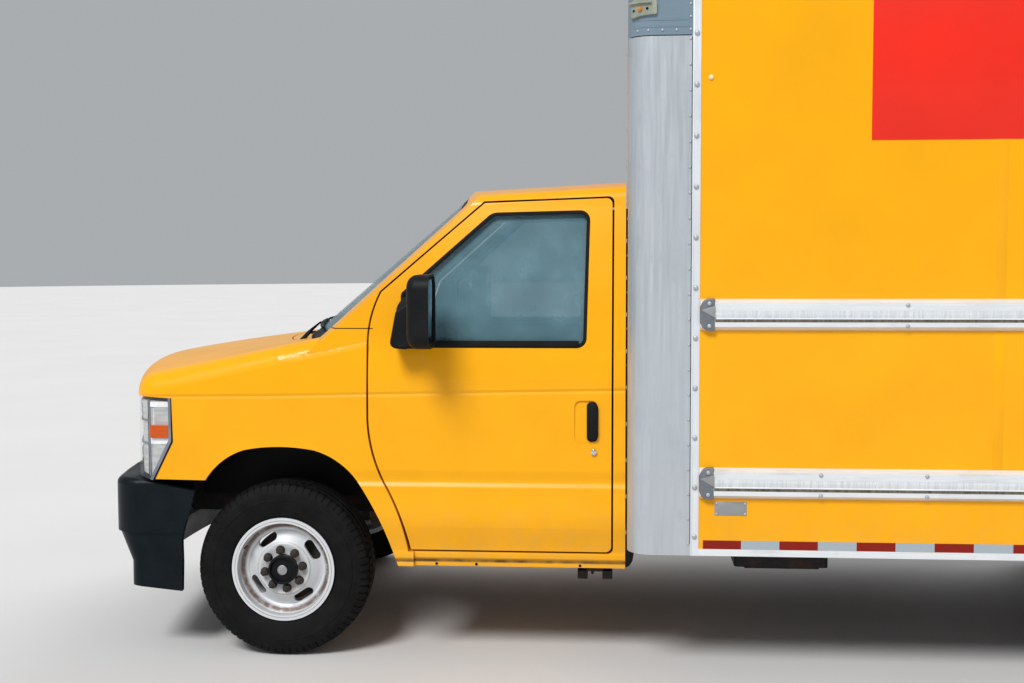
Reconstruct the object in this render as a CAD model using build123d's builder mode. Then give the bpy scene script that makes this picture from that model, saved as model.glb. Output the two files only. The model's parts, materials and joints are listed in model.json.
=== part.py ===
from build123d import *
from math import cos, hypot, radians, sin, tan
import os

os.makedirs("parts", exist_ok=True)

# Overall layout, in millimetres. The front points along -X, the driver's side is -Y, and Z is up from
# the ground. The origin is on the ground, in the middle of the truck's length and width.
wheelbase = 4013
front_overhang = 830
cab_back = 1449
cab_to_box_gap = 8
box_length = 4980
rear_step_reach = 166
rear_overhang = cab_back + cab_to_box_gap + box_length + rear_step_reach - wheelbase
overall_length = front_overhang + wheelbase + rear_overhang
front_axle_x = front_overhang - overall_length / 2
rear_axle_x = front_axle_x + wheelbase

# Wheels and tyres
tyre_radius = 372
tyre_width = 222
rim_flange_radius = 221
rim_width = 178
hub_bore_radius = 62
hand_hole_ring = 140
hand_hole_length = 92
hand_hole_width = 36
hand_hole_angle = 33
hub_fit = 0.5
front_track = 1762
dual_track = 1800
dual_spacing = 256
axle_z = tyre_radius
kingpin_offset = 92

# Frame
rail_outer_y = 431
rail_depth = 170
rail_flange = 70
rail_web = 8
frame_top = 690
frame_front_x = front_axle_x - 560
body_mount = 12

# Cab, measured from the front axle
cab_half_width = 1005
panel_gap = 8
cab_wall = 58
roof_wall = 36
rocker_bottom = 402
door_bottom = 471
floor_top = 737
floor_thickness = 25
windshield_tilt = 40.45
windshield_corner_x = 231
windshield_corner_z = 1434
windshield_half_width = 850
windshield_bow = 92
cab_back_x = front_axle_x + cab_back

# Cargo box
box_half_width = 1219
box_top = 3100
roof_rise = 56
roof_rail_height = 54
header_height = 240
cap_height = 545
skirt_bottom = 514
deck_top = 860
deck_thickness = 32
wall_thickness = 36
corner_radius = 100
extrusion_start = 249
extrusion_width = 32
box_front_x = cab_back_x + cab_to_box_gap
box_rear_x = box_front_x + box_length
box_rear_frame = 110
roof_edge_top = box_top - roof_rise
wall_top = roof_edge_top - roof_rail_height
cap_bottom = box_top - cap_height
skin_clearance = 0.4

# Rub rails on the box sides
rub_depth = 24
upper_rub_bottom = 1410
lower_rub_bottom = 745
rub_height = 122


def save(name, builder):
    """Label the finished piece and write it to its own file."""
    builder.part.label = name
    export_step(builder.part, "parts/" + name + ".step")


def axle_points(points):
    """Points measured from the front axle, moved into the truck's frame."""
    return [(front_axle_x + x, z) for x, z in points]


# Wheels and tyres

def make_tyre(x, y):
    """A tyre as a ring round the wheel's axis, with round sidewalls and an open inside."""
    bead = rim_flange_radius - 17
    half_rim = rim_width / 2 - 6
    half_tyre = tyre_width / 2
    lip_z = axle_z + rim_flange_radius + 4
    wall_z = axle_z + tyre_radius - 76
    cheek_z = (lip_z + wall_z) / 2
    with BuildPart() as tyre:
        with BuildSketch(Plane.YZ.offset(x)):
            with BuildLine():
                inner_bead = (y - half_rim, axle_z + bead)
                outer_bead = (y + half_rim, axle_z + bead)
                left_wall = (y - half_tyre, wall_z)
                right_wall = (y + half_tyre, wall_z)
                left_shoulder = (y - half_tyre + 20, axle_z + tyre_radius - 8)
                right_shoulder = (y + half_tyre - 20, axle_z + tyre_radius - 8)
                left_lip = (y - half_rim - 2, lip_z)
                right_lip = (y + half_rim + 2, lip_z)
                Line(inner_bead, left_lip)
                ThreePointArc(left_lip, (y - half_tyre + 6, cheek_z), left_wall)
                ThreePointArc(left_wall, (y - half_tyre + 4, axle_z + tyre_radius - 32), left_shoulder)
                ThreePointArc(left_shoulder, (y, axle_z + tyre_radius), right_shoulder)
                ThreePointArc(right_shoulder, (y + half_tyre - 4, axle_z + tyre_radius - 32), right_wall)
                ThreePointArc(right_wall, (y + half_tyre - 6, cheek_z), right_lip)
                Line(right_lip, outer_bead)
                Line(outer_bead, (y + half_rim - 14, axle_z + bead))
                ThreePointArc((y + half_rim - 14, axle_z + bead), (y, axle_z + tyre_radius - 16),
                              (y - half_rim + 14, axle_z + bead))
                Line((y - half_rim + 14, axle_z + bead), inner_bead)
            make_face()
        revolve(axis=Axis((x, 0, axle_z), (0, 1, 0)), revolution_arc=360)
    return tyre


def make_rim(x, y, out, dish):
    """A pressed steel wheel: rim barrel and disc with four hand holes. out is +1 or -1, the outer side,
    and dish is how far the disc's bolting face lies outside the middle of the rim."""
    half = rim_width / 2
    lip = rim_flange_radius
    well = 168
    bead = rim_flange_radius - 17.5
    gauge = 5
    face = y + out * dish
    depth = dish - 36
    with BuildPart() as rim:
        with BuildSketch(Plane.YZ.offset(x)):
            with BuildLine():
                Polyline(
                    (y - half - 8, axle_z + lip),
                    (y - half, axle_z + lip),
                    (y - half, axle_z + bead),
                    (y - half + 30, axle_z + bead - 2),
                    (y - half + 52, axle_z + well),
                    (y + half - 52, axle_z + well),
                    (y + half - 30, axle_z + bead - 2),
                    (y + half, axle_z + bead),
                    (y + half, axle_z + lip),
                    (y + half + 8, axle_z + lip),
                    (y + half + 8, axle_z + bead - gauge),
                    (y + half - 26, axle_z + bead - gauge - 2),
                    (y + half - 48, axle_z + well - gauge),
                    (y - half + 48, axle_z + well - gauge),
                    (y - half + 26, axle_z + bead - gauge - 2),
                    (y - half - 8, axle_z + bead - gauge),
                    close=True,
                )
            make_face()
        revolve(axis=Axis((x, 0, axle_z), (0, 1, 0)), revolution_arc=360)
        with BuildSketch(Plane.YZ.offset(x)):
            with BuildLine():
                Polyline(
                    (face, axle_z + hub_bore_radius + hub_fit),
                    (face, axle_z + 108),
                    (face - out * (depth - 8), axle_z + 150),
                    (face - out * depth, axle_z + well - gauge / 2),
                    (face - out * (depth + 20), axle_z + well - gauge / 2),
                    (face - out * (depth + 2), axle_z + 140),
                    (face - out * 9, axle_z + 104),
                    (face - out * 9, axle_z + hub_bore_radius + hub_fit),
                    close=True,
                )
            make_face()
        revolve(axis=Axis((x, 0, axle_z), (0, 1, 0)), revolution_arc=360)
        hole_plane = Plane(origin=(x, face, axle_z), x_dir=(1, 0, 0), z_dir=(0, -out, 0))
        with BuildSketch(hole_plane):
            with PolarLocations(hand_hole_ring, 4, start_angle=out * hand_hole_angle):
                SlotOverall(hand_hole_length, hand_hole_width, rotation=90)
        extrude(amount=dish, both=True, mode=Mode.SUBTRACT)
    return rim


def wheel_set(name, x, wheels):
    """Write the tyres and rims of one hub."""
    plural = "s" if len(wheels) > 1 else ""
    with BuildPart() as tyres:
        for y, out, dish in wheels:
            add(make_tyre(x, y).part)
    save(name.replace("#", "tyre" + plural), tyres)
    with BuildPart() as rims:
        for y, out, dish in wheels:
            add(make_rim(x, y, out, dish).part)
    save(name.replace("#", "rim" + plural), rims)


front_wheel_y = front_track / 2
dual_inner_y = dual_track / 2 - dual_spacing / 2
dual_outer_y = dual_track / 2 + dual_spacing / 2
front_dish = 78
rear_dish = dual_spacing / 2 - 0.2
for side_name, side in (("left", -1), ("right", 1)):
    wheel_set("front_#_" + side_name, front_axle_x, [(side * front_wheel_y, side, front_dish)])
    wheel_set("rear_#_" + side_name, rear_axle_x,
              [(side * dual_inner_y, side, rear_dish), (side * dual_outer_y, -side, rear_dish)])

# Rear hubs: the brake drum inside the inner wheel, with the hub that passes through both wheels
axle_tube_end = dual_inner_y - 60
turning_gap = 6
drum_start = axle_tube_end + turning_gap
drum_radius = 150
drum_seat_y = dual_inner_y + rear_dish - 9 - 0.2
drum_nose_radius = 98
hub_radius = hub_bore_radius - 1
hub_end_y = dual_track / 2 + 84
cap_radius = 32
for side_name, side in (("left", -1), ("right", 1)):
    with BuildPart() as rear_hub:
        with BuildSketch(Plane.YZ.offset(rear_axle_x)):
            with BuildLine():
                Polyline(
                    (side * drum_start, axle_z),
                    (side * drum_start, axle_z + drum_radius - 12),
                    (side * (drum_start + 8), axle_z + drum_radius),
                    (side * (dual_inner_y + 6), axle_z + drum_radius),
                    (side * (dual_inner_y + 22), axle_z + drum_radius - 20),
                    (side * (drum_seat_y - 8), axle_z + drum_nose_radius),
                    (side * drum_seat_y, axle_z + drum_nose_radius),
                    (side * drum_seat_y, axle_z + hub_radius),
                    (side * (hub_end_y - 46), axle_z + hub_radius),
                    (side * (hub_end_y - 30), axle_z + hub_radius - 8),
                    (side * (hub_end_y - 12), axle_z + hub_radius - 8),
                    (side * (hub_end_y - 12), axle_z + hub_radius - 2),
                    (side * hub_end_y, axle_z + hub_radius - 2),
                    (side * hub_end_y, axle_z + cap_radius),
                    (side * (hub_end_y + 10), axle_z + cap_radius - 8),
                    (side * (hub_end_y + 10), axle_z),
                    close=True,
                )
            make_face()
        revolve(axis=Axis((rear_axle_x, 0, axle_z), (0, 1, 0)), revolution_arc=360)
    save("rear_hub_" + side_name, rear_hub)

# Knuckles with their hubs and brake discs. The wheel turns on the spindle, and the knuckle on the kingpin.
kingpin_y = front_wheel_y - kingpin_offset
hub_face_y = front_wheel_y + front_dish - 9
kingpin_radius = 16
kingpin_clearance = 0.05
eye_half_height = 38
eye_radius = 34
fork_gap = 6
web_out = 42
hub_length = hub_face_y - 0.5 - kingpin_y - web_out

for side_name, side in (("left", -1), ("right", 1)):
    hub_plane = Plane(origin=(front_axle_x, side * (kingpin_y + web_out), axle_z), x_dir=(1, 0, 0),
                      z_dir=(0, side, 0))
    with BuildPart() as knuckle:
        with BuildSketch(hub_plane):
            Circle(46)
        extrude(amount=hub_length)
        with BuildSketch(hub_plane.offset(hub_length - 14)):
            Circle(104)
        extrude(amount=14)
        with BuildSketch(hub_plane.offset(hub_length)):
            Circle(hub_bore_radius)
        extrude(amount=34)
        with BuildSketch(hub_plane.offset(12)):
            Circle(152)
        extrude(amount=28)
        for low in (-1, 1):
            ear_base = axle_z + (eye_half_height + fork_gap if low > 0 else -eye_half_height - fork_gap - 26)
            with BuildSketch(Plane.XY.offset(ear_base)):
                with BuildLine():
                    Polyline(
                        (front_axle_x - eye_radius, side * kingpin_y),
                        (front_axle_x + eye_radius, side * kingpin_y),
                        (front_axle_x + 46, side * (kingpin_y + web_out)),
                        (front_axle_x - 46, side * (kingpin_y + web_out)),
                        close=True,
                    )
                make_face()
                with Locations((front_axle_x, side * kingpin_y)):
                    Circle(eye_radius)
            extrude(amount=26)
        with BuildSketch(Plane.XY.offset(axle_z - eye_half_height - fork_gap - 26)):
            with Locations((front_axle_x, side * (kingpin_y + web_out + 11))):
                Rectangle(92, 22)
        extrude(amount=2 * (eye_half_height + fork_gap + 26))
        with BuildSketch(Plane.XY.offset(axle_z - eye_half_height - fork_gap - 34)):
            with Locations((front_axle_x, side * kingpin_y)):
                Circle(kingpin_radius)
        extrude(amount=2 * (eye_half_height + fork_gap + 34))
    save("knuckle_" + side_name, knuckle)

# Front axle: twin beams that cross, each with the kingpin eye at one end.
beam_pivot_y = 330
beam_half = 22
beam_shift = 34
pivot_bottom = axle_z + 58
with BuildPart() as front_axle:
    for side, x_shift in ((-1, -beam_shift), (1, beam_shift)):
        with BuildSketch(Plane.YZ.offset(front_axle_x + x_shift - beam_half)):
            with BuildLine():
                Polyline(
                    (-side * beam_pivot_y, axle_z + 96),
                    (-side * (beam_pivot_y - 60), axle_z + 126),
                    (side * 420, axle_z + 40),
                    (side * (kingpin_y - 70), axle_z + 30),
                    (side * (kingpin_y - 40), axle_z + 30),
                    (side * (kingpin_y - 40), axle_z - 30),
                    (side * 560, axle_z - 44),
                    (side * 330, axle_z - 50),
                    (-side * (beam_pivot_y - 60), axle_z + 40),
                    (-side * beam_pivot_y, axle_z + 56),
                    close=True,
                )
            make_face()
        extrude(amount=2 * beam_half)
        with BuildSketch(Plane.XY.offset(axle_z - 30)):
            with Locations((front_axle_x + x_shift / 2, side * (kingpin_y - 52))):
                Rectangle(abs(x_shift) + 2 * beam_half, 44)
        extrude(amount=60)
        with BuildSketch(Plane.XY.offset(axle_z - eye_half_height)):
            with Locations((front_axle_x, side * kingpin_y)):
                Circle(eye_radius)
        extrude(amount=2 * eye_half_height)
        with BuildSketch(Plane.XY.offset(axle_z - eye_half_height)):
            with Locations((front_axle_x, side * kingpin_y)):
                Circle(kingpin_radius + kingpin_clearance)
        extrude(amount=2 * eye_half_height, mode=Mode.SUBTRACT)
    save("front_axle", front_axle)

# Rear axle: tube, round differential housing and hubs, with the leaf packs clamped on it.
spring_track = 500
spring_half_length = 700
spring_eye = 30
with BuildPart() as rear_axle:
    with BuildSketch(Plane.XZ.offset(axle_tube_end)):
        with Locations((rear_axle_x, axle_z)):
            Circle(52)
    extrude(amount=-2 * axle_tube_end)
    with BuildSketch(Plane.XY.offset(axle_z)):
        with Locations((rear_axle_x, 0)):
            Circle(170)
    extrude(amount=76, both=True)
    for y in (-spring_track, spring_track):
        with BuildSketch(Plane.XZ.offset(y)):
            with BuildLine():
                spring_top = (rear_axle_x, axle_z + 118)
                spring_bottom = (rear_axle_x, axle_z + 48)
                front_eye = (rear_axle_x - spring_half_length, frame_top - rail_depth - spring_eye)
                rear_eye = (rear_axle_x + spring_half_length, frame_top - rail_depth - spring_eye)
                front_end = (rear_axle_x - spring_half_length, frame_top - rail_depth)
                rear_end = (rear_axle_x + spring_half_length, frame_top - rail_depth)
                ThreePointArc(front_eye, spring_bottom, rear_eye)
                Line(rear_eye, rear_end)
                ThreePointArc(rear_end, spring_top, front_end)
                Line(front_end, front_eye)
            make_face()
        extrude(amount=38, both=True)
save("rear_axle", rear_axle)

# Frame: two channel rails and their crossmembers, with the cab's mounting pads.
crossmember_x = [-525, 1150, 2150, 3050, 4650, 5400, 6150]
mount_x = [620, 1330]
mount_y = 600
rail_end_x = box_rear_x - 40
with BuildPart() as frame_rails:
    with BuildSketch(Plane.YZ.offset(frame_front_x)):
        for side in (-1, 1):
            with Locations((side * (rail_outer_y - rail_flange / 2), frame_top - rail_depth / 2)):
                Rectangle(rail_flange, rail_depth)
            with Locations((side * (rail_outer_y - rail_web - rail_flange / 2), frame_top - rail_depth / 2)):
                Rectangle(rail_flange, rail_depth - 2 * rail_web, mode=Mode.SUBTRACT)
    extrude(amount=rail_end_x - frame_front_x)
    for x in crossmember_x:
        with BuildSketch(Plane.XY.offset(frame_top - rail_depth + 20)):
            with Locations((front_axle_x + x, 0)):
                Rectangle(70, 2 * (rail_outer_y - rail_web / 2))
        extrude(amount=rail_depth - 60)
        with BuildSketch(Plane.XY.offset(frame_top - rail_depth + 28)):
            with Locations((front_axle_x + x, 0)):
                Rectangle(54, 2 * (rail_outer_y - rail_web))
        extrude(amount=rail_depth - 60, mode=Mode.SUBTRACT)
    for x in mount_x:
        for side in (-1, 1):
            with BuildSketch(Plane.XY.offset(frame_top - 90)):
                with Locations((front_axle_x + x, side * (rail_outer_y + mount_y + 50) / 2)):
                    Rectangle(90, mount_y + 50 - rail_outer_y + rail_web)
            extrude(amount=60)
            with BuildSketch(Plane.XY.offset(frame_top - 40)):
                with Locations((front_axle_x + x, side * mount_y)):
                    Circle(38)
            extrude(amount=40 + body_mount)
    for x in (rear_axle_x - spring_half_length - 40, rear_axle_x + spring_half_length):
        for side in (-1, 1):
            with BuildSketch(Plane.XY.offset(frame_top - rail_depth - 36)):
                with Locations((x + 20, side * (rail_outer_y + 540) / 2)):
                    Rectangle(40, 540 - rail_outer_y + rail_web)
            extrude(amount=110)
    pivot_plate_bottom = pivot_bottom + 70
    pivot_plate_top = max(frame_top - rail_depth, pivot_plate_bottom + 20)
    with BuildSketch(Plane.XY.offset(pivot_plate_bottom)):
        with Locations((front_axle_x, 0)):
            Rectangle(120, 2 * rail_outer_y)
    extrude(amount=pivot_plate_top - pivot_plate_bottom)
    for side, x_shift in ((-1, -beam_shift), (1, beam_shift)):
        with BuildSketch(Plane.XY.offset(pivot_bottom)):
            with Locations((front_axle_x + x_shift, -side * (beam_pivot_y + 8))):
                Rectangle(2 * beam_half + 24, 16)
        extrude(amount=75)
save("frame_rails", frame_rails)

# Engine: one plain block, with the gearbox and driveshaft behind it
engine_rear_x = front_axle_x + 215
engine_length = 640
engine_width = 560
with BuildPart() as engine:
    with BuildSketch(Plane.XY.offset(frame_top - 130)):
        with Locations((engine_rear_x - engine_length / 2, 0)):
            Rectangle(engine_length, engine_width)
    extrude(amount=520)
save("engine", engine)

gearbox_length = 760
shaft_z = 455
with BuildPart() as driveline:
    with BuildSketch(Plane.YZ.offset(engine_rear_x)):
        with Locations((0, shaft_z + 60)):
            Circle(150)
    with BuildSketch(Plane.YZ.offset(engine_rear_x + 260)):
        with Locations((0, shaft_z + 30)):
            Circle(110)
    loft()
    with BuildSketch(Plane.YZ.offset(engine_rear_x + 260)):
        with Locations((0, shaft_z + 30)):
            Circle(110)
    with BuildSketch(Plane.YZ.offset(engine_rear_x + gearbox_length)):
        with Locations((0, shaft_z)):
            Circle(60)
    loft()
    shaft_start = Vector(engine_rear_x + gearbox_length - 20, 0, shaft_z)
    shaft_end = Vector(rear_axle_x - 172, 0, axle_z)
    shaft_plane = Plane(origin=shaft_start, z_dir=shaft_end - shaft_start)
    with BuildSketch(shaft_plane):
        Circle(45)
    extrude(amount=(shaft_end - shaft_start).length - 20)
save("driveline", driveline)

# Cab and nose. The nose is one outer form, which the hood, fenders, lamps, grille and cowl are cut from,
# and the cab is another, which the pillars, roof and doors are cut from.

# Nose top: x from the front axle, height on the centre line, height at the side
nose_sections = [(-900, 1197, 1122), (-300, 1298, 1252), (400, 1352, 1414), (600, 1360, 1452)]
nose_side_y = 1000
nose_fillet = 85
nose_corner = 100
nose_rear = 590
fender_rear = 565
nose_taper_start = 1120
nose_lean_height = 400
nose_lean = 35
skin = 17.5
hood_thickness = 22
fender_pillar_gap = 22


def nose_plan(inset):
    """The nose's outline seen from above, with every side moved inwards by inset."""
    with BuildSketch() as plan:
        with BuildLine():
            front_centre = (front_axle_x - 795 + inset, 0)
            front_left = (front_axle_x - 618 + inset, -962 + inset)
            front_right = (front_axle_x - 618 + inset, 962 - inset)
            side_left = (front_axle_x, -1003 + inset)
            side_right = (front_axle_x, 1003 - inset)
            back_left = (front_axle_x + nose_rear, -cab_half_width + inset)
            back_right = (front_axle_x + nose_rear, cab_half_width - inset)
            ThreePointArc(front_left, front_centre, front_right)
            Polyline(front_right, side_right, back_right, back_left, side_left, front_left)
        make_face()
        fillet(plan.vertices().filter_by(lambda v: v.X < front_axle_x - 500), nose_corner - inset)
    return plan.sketch


def nose_form(inset):
    """The nose's outer form: upright up to the body line, leaning in above it, under a crowned top."""
    with BuildPart() as block:
        with BuildSketch(Plane.XY.offset(200)):
            add(nose_plan(inset))
        extrude(amount=nose_taper_start - 200)
        with BuildSketch(Plane.XY.offset(nose_taper_start)):
            add(nose_plan(inset))
        with BuildSketch(Plane.XY.offset(nose_taper_start + nose_lean_height)):
            add(nose_plan(inset + nose_lean))
        loft(ruled=True)
    with BuildPart() as nose:
        for x, centre_z, side_z in nose_sections:
            half = nose_side_y + 100
            edge_z = centre_z + (side_z - centre_z) * (half / nose_side_y) ** 2 - inset
            with BuildSketch(Plane.YZ.offset(front_axle_x + x)):
                with BuildLine():
                    ThreePointArc((-half, edge_z), (0, centre_z - inset), (half, edge_z))
                    Polyline((half, edge_z), (half, 100), (-half, 100), (-half, edge_z))
                make_face()
        loft()
        add(block.part, mode=Mode.INTERSECT)
        top_edges = nose.edges().filter_by(lambda e: e.center().Z > nose_taper_start + 20)
        top_edges = top_edges.filter_by(lambda e: e.bounding_box().size.Z < 0.6 * e.length)
        top_edges = top_edges.filter_by(lambda e: e.center().X < front_axle_x + nose_rear - 1)
        fillet(top_edges, nose_fillet - inset)
    return nose.part


# Cab section seen from the front: half width and height, sill to roof rail
cab_section_low = [(985, rocker_bottom), (1002, 600), (1008, 760)]
cab_section_side = [(1003, 772), (1008, 950), (1002, 1130)]
cab_section_belt = [(1002, 1130), (997, 1225), (984, 1312)]
cab_section_window = [(984, 1312), (940, 1620), (870, 1905)]
roof_slope = 3.1
roof_edge_z = 1958
roof_crown = 68
roof_rail_fillet = 60
tilt = radians(windshield_tilt)
glass_normal = Vector(-sin(tilt), 0, cos(tilt))
glass_up = Vector(cos(tilt), 0, sin(tilt))
glass_corner = Vector(front_axle_x + windshield_corner_x, 0, windshield_corner_z)


def cab_form(side, roof, front, back=0):
    """The cab's outer form, with its sides, roof, windshield and back moved inwards."""
    with BuildPart() as crown:
        rise = cab_back * tan(radians(roof_slope)) / 2
        slope_plane = Plane(origin=(cab_back_x + 200, 0, roof_edge_z + 60), x_dir=(0, 1, 0),
                            z_dir=(cos(radians(roof_slope)), 0, sin(radians(roof_slope))))
        with BuildSketch(slope_plane):
            with BuildLine():
                ThreePointArc((-1000, -40 - roof), (0, roof_crown - 40 - roof), (1000, -40 - roof))
                Polyline((1000, -40 - roof), (1000, -2400), (-1000, -2400), (-1000, -40 - roof))
            make_face()
        extrude(amount=-2200)
    with BuildPart() as barrel:
        half = 1080
        edge = windshield_bow - windshield_bow * (half / windshield_half_width) ** 2 - front
        with BuildSketch(Plane(origin=glass_corner, x_dir=(0, 1, 0), z_dir=glass_up)):
            with BuildLine():
                ThreePointArc((-half, edge), (0, windshield_bow - front), (half, edge))
                Polyline((half, edge), (half, -2600), (-half, -2600), (-half, edge))
            make_face()
        extrude(amount=2600, both=True)
    with BuildPart() as cab:
        with BuildSketch(Plane.YZ.offset(front_axle_x - 120)):
            with BuildLine():
                low = [(y - side, z) for y, z in cab_section_low]
                middle = [(y - side, z) for y, z in cab_section_side]
                belt = [(y - side, z) for y, z in cab_section_belt]
                window = [(y - side, z) for y, z in cab_section_window]
                Line((0, rocker_bottom), low[0])
                ThreePointArc(*low)
                Line(low[-1], middle[0])
                ThreePointArc(*middle)
                ThreePointArc(*belt)
                ThreePointArc(*window)
                Polyline(window[-1], (window[-1][0] - 40, 2060), (0, 2060), (0, rocker_bottom))
            make_face()
            mirror(about=Plane.YZ)
        extrude(amount=cab_back + 120 - back)
        add(crown.part, mode=Mode.INTERSECT)
        add(barrel.part, mode=Mode.INTERSECT)
        rails = cab.edges().filter_by(lambda e: e.center().Z > 1880 and e.bounding_box().size.X > 400
                                      and abs(e.center().Y) > 700)
        fillet(rails, roof_rail_fillet - roof / 2)
    return cab.part


# Door outline seen from the side: x from the front axle, height, and the way out of the door there
door_outline = {
    "bottom_rear": (1391, door_bottom, 1, -1),
    "bottom_front": (553, door_bottom, -1.3, -1),
    "leg": (503, 632, -0.94, -0.34),
    "knee": (446, 753, -0.9, -0.4),
    "calf": (398, 880, -0.97, -0.22),
    "front_low": (378, 1020, -1, 0),
    "front_high": (379, 1315, -1, 0),
    "pillar_bend": (394, 1455, -0.98, 0.17),
    "pillar_foot": (430, 1550, -0.82, 0.5),
    "top_front": (858, 1921, -0.39, 0.99),
    "top_rear": (1393, 1940, 1, 1),
}


def side_outline(grow=0):
    """The door's outline seen from the side, grown outwards by a gap or shrunk inwards."""
    at = {name: (front_axle_x + x + grow * out_x, z + grow * out_z)
          for name, (x, z, out_x, out_z) in door_outline.items()}
    with BuildSketch() as outline:
        with BuildLine():
            Line(at["bottom_rear"], at["bottom_front"])
            ThreePointArc(at["bottom_front"], at["leg"], at["knee"])
            ThreePointArc(at["knee"], at["calf"], at["front_low"])
            Line(at["front_low"], at["front_high"])
            ThreePointArc(at["front_high"], at["pillar_bend"], at["pillar_foot"])
            Line(at["pillar_foot"], at["top_front"])
            Line(at["top_front"], at["top_rear"])
            Line(at["top_rear"], at["bottom_rear"])
        make_face()
        fillet(outline.vertices().filter_by(lambda v: v.X > front_axle_x + 1350), 24)
    return outline.sketch


def window_outline(shrink=0):
    """The side window's opening, with its slanted front edge and round corners."""
    with BuildSketch() as outline:
        with BuildLine():
            Polyline(*axle_points([(512 + shrink, 1319 + shrink), (1288 - shrink, 1319 + shrink),
                                   (1302 - shrink, 1890 - shrink), (890 + 0.4 * shrink, 1881 - shrink),
                                   (512 + shrink, 1545 - 0.4 * shrink)]), close=True)
        make_face()
        fillet(outline.vertices().filter_by(lambda v: v.X > front_axle_x + 1200), 42)
        fillet(outline.vertices().filter_by(lambda v: v.X < front_axle_x + 1200 and v.Y > 1700), 60)
        fillet(outline.vertices().filter_by(lambda v: v.X < front_axle_x + 600), 25)
    return outline.sketch


arch_front = [(-330, 752), (-262, 829), (-156, 885)]
arch_top = [(-156, 885), (0, 901), (148, 887)]
arch_back = [(148, 887), (262, 829), (328, 760)]
arch_leg = [(328, 760), (424, 590), (499, rocker_bottom)]


def arch_outline(grow=0):
    """The front wheel arch seen from the side, open at the bottom and moved outwards by a gap."""
    def moved(points):
        out = []
        for x, z in points:
            reach = hypot(x, z - axle_z)
            out.append((front_axle_x + x * (1 + grow / reach), z + (z - axle_z) * grow / reach))
        return out
    with BuildSketch() as outline:
        with BuildLine():
            front = moved(arch_front)
            leg = moved(arch_leg)
            ThreePointArc(*front)
            ThreePointArc(*moved(arch_top))
            ThreePointArc(*moved(arch_back))
            ThreePointArc(*leg)
            Polyline(leg[-1], (leg[-1][0], 100), (front_axle_x - 900, 100), (front_axle_x - 900, front[0][1]),
                     front[0])
        make_face()
    return outline.sketch


headlamp_outline = [(-900, 1120), (-476, 1099), (-472, 915), (-557, 748), (-630, 762), (-900, 766)]
lamp_inner_y = 560
seam_y = 770
hood_front_z = 1124
hood_back_centre = -140
hood_back_side = 60
pillar_seam_z = 1408


def hood_plan(grow=0):
    """The hood seen from above, with its curved rear edge."""
    half = seam_y + grow
    front = front_axle_x - 900
    with BuildSketch() as outline:
        with BuildLine():
            back = front_axle_x + hood_back_side + grow
            ThreePointArc((back, -half), (front_axle_x + hood_back_centre + grow, 0), (back, half))
            Polyline((back, half), (front, half - 30), (front, 30 - half), (back, -half))
        make_face()
    return outline.sketch


def side_slab(y_from, y_to, outline):
    """An outline seen from the side, as a slab from one width to another."""
    with BuildPart() as slab:
        with BuildSketch(Plane.XZ.offset(-y_from)):
            add(outline)
        extrude(amount=-(y_to - y_from))
    return slab.part


def block(x0, x1, y0, y1, z0, z1):
    """A plain block between two corners, with x measured from the front axle."""
    with BuildPart() as solid:
        with BuildSketch(Plane.XY.offset(z0)):
            with Locations((front_axle_x + (x0 + x1) / 2, (y0 + y1) / 2)):
                Rectangle(x1 - x0, y1 - y0)
        extrude(amount=z1 - z0)
    return solid.part


nose_outer = nose_form(0)
nose_skin_inner = nose_form(skin)
cab_outer = cab_form(0, 0, 0)
cab_behind_fender = cab_form(fender_pillar_gap, 0, 0)
cab_clear = cab_form(fender_pillar_gap - 1, 0, -0.5)
door_thickness = 54
cavity_back = 34

# Fenders: the skin of the nose outside the hood, with the wheel arch and the headlamp's place cut out
with BuildPart() as fenders:
    add(nose_outer)
    add(nose_skin_inner, mode=Mode.SUBTRACT)
    add(block(-900, fender_rear, -1100, 1100, rocker_bottom, pillar_seam_z), mode=Mode.INTERSECT)
    with BuildSketch(Plane.XY.offset(900)):
        add(hood_plan(panel_gap))
    extrude(amount=700, mode=Mode.SUBTRACT)
    add(side_slab(-1100, 1100, arch_outline()), mode=Mode.SUBTRACT)
    add(block(-900, -300, -1100, 1100, 100, 752), mode=Mode.SUBTRACT)
    add(block(-900, -556, -1100, 1100, 100, 770), mode=Mode.SUBTRACT)
    add(block(-900, -100, -lamp_inner_y - 220, lamp_inner_y + 220, 100, hood_front_z), mode=Mode.SUBTRACT)
    with BuildSketch(Plane.XZ.offset(-1100)):
        with BuildLine():
            Polyline(*axle_points(headlamp_outline), close=True)
        make_face()
        offset(amount=1)
    extrude(amount=2200, mode=Mode.SUBTRACT)
    add(side_slab(-1100, 1100, side_outline(panel_gap)), mode=Mode.SUBTRACT)
    add(cab_clear, mode=Mode.SUBTRACT)
save("fenders", fenders)

# Hood: the top of the nose between the fenders
with BuildPart() as hood:
    add(nose_outer)
    add(nose_form(hood_thickness), mode=Mode.SUBTRACT)
    with BuildSketch(Plane.XY.offset(hood_front_z)):
        add(hood_plan())
    extrude(amount=700, mode=Mode.INTERSECT)
save("hood", hood)

# Cowl: the black panel between the hood and the windshield
with BuildPart() as cowl:
    add(nose_form(5))
    add(nose_form(5 + skin), mode=Mode.SUBTRACT)
    with BuildSketch(Plane.XY.offset(1000)):
        with Locations((front_axle_x + 60, 0)):
            Rectangle(400, 2 * (seam_y + 60))
        add(hood_plan(panel_gap), mode=Mode.SUBTRACT)
    extrude(amount=700, mode=Mode.INTERSECT)
    add(cab_clear, mode=Mode.SUBTRACT)
    add(fenders.part, mode=Mode.SUBTRACT)
save("cowl", cowl)

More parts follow.
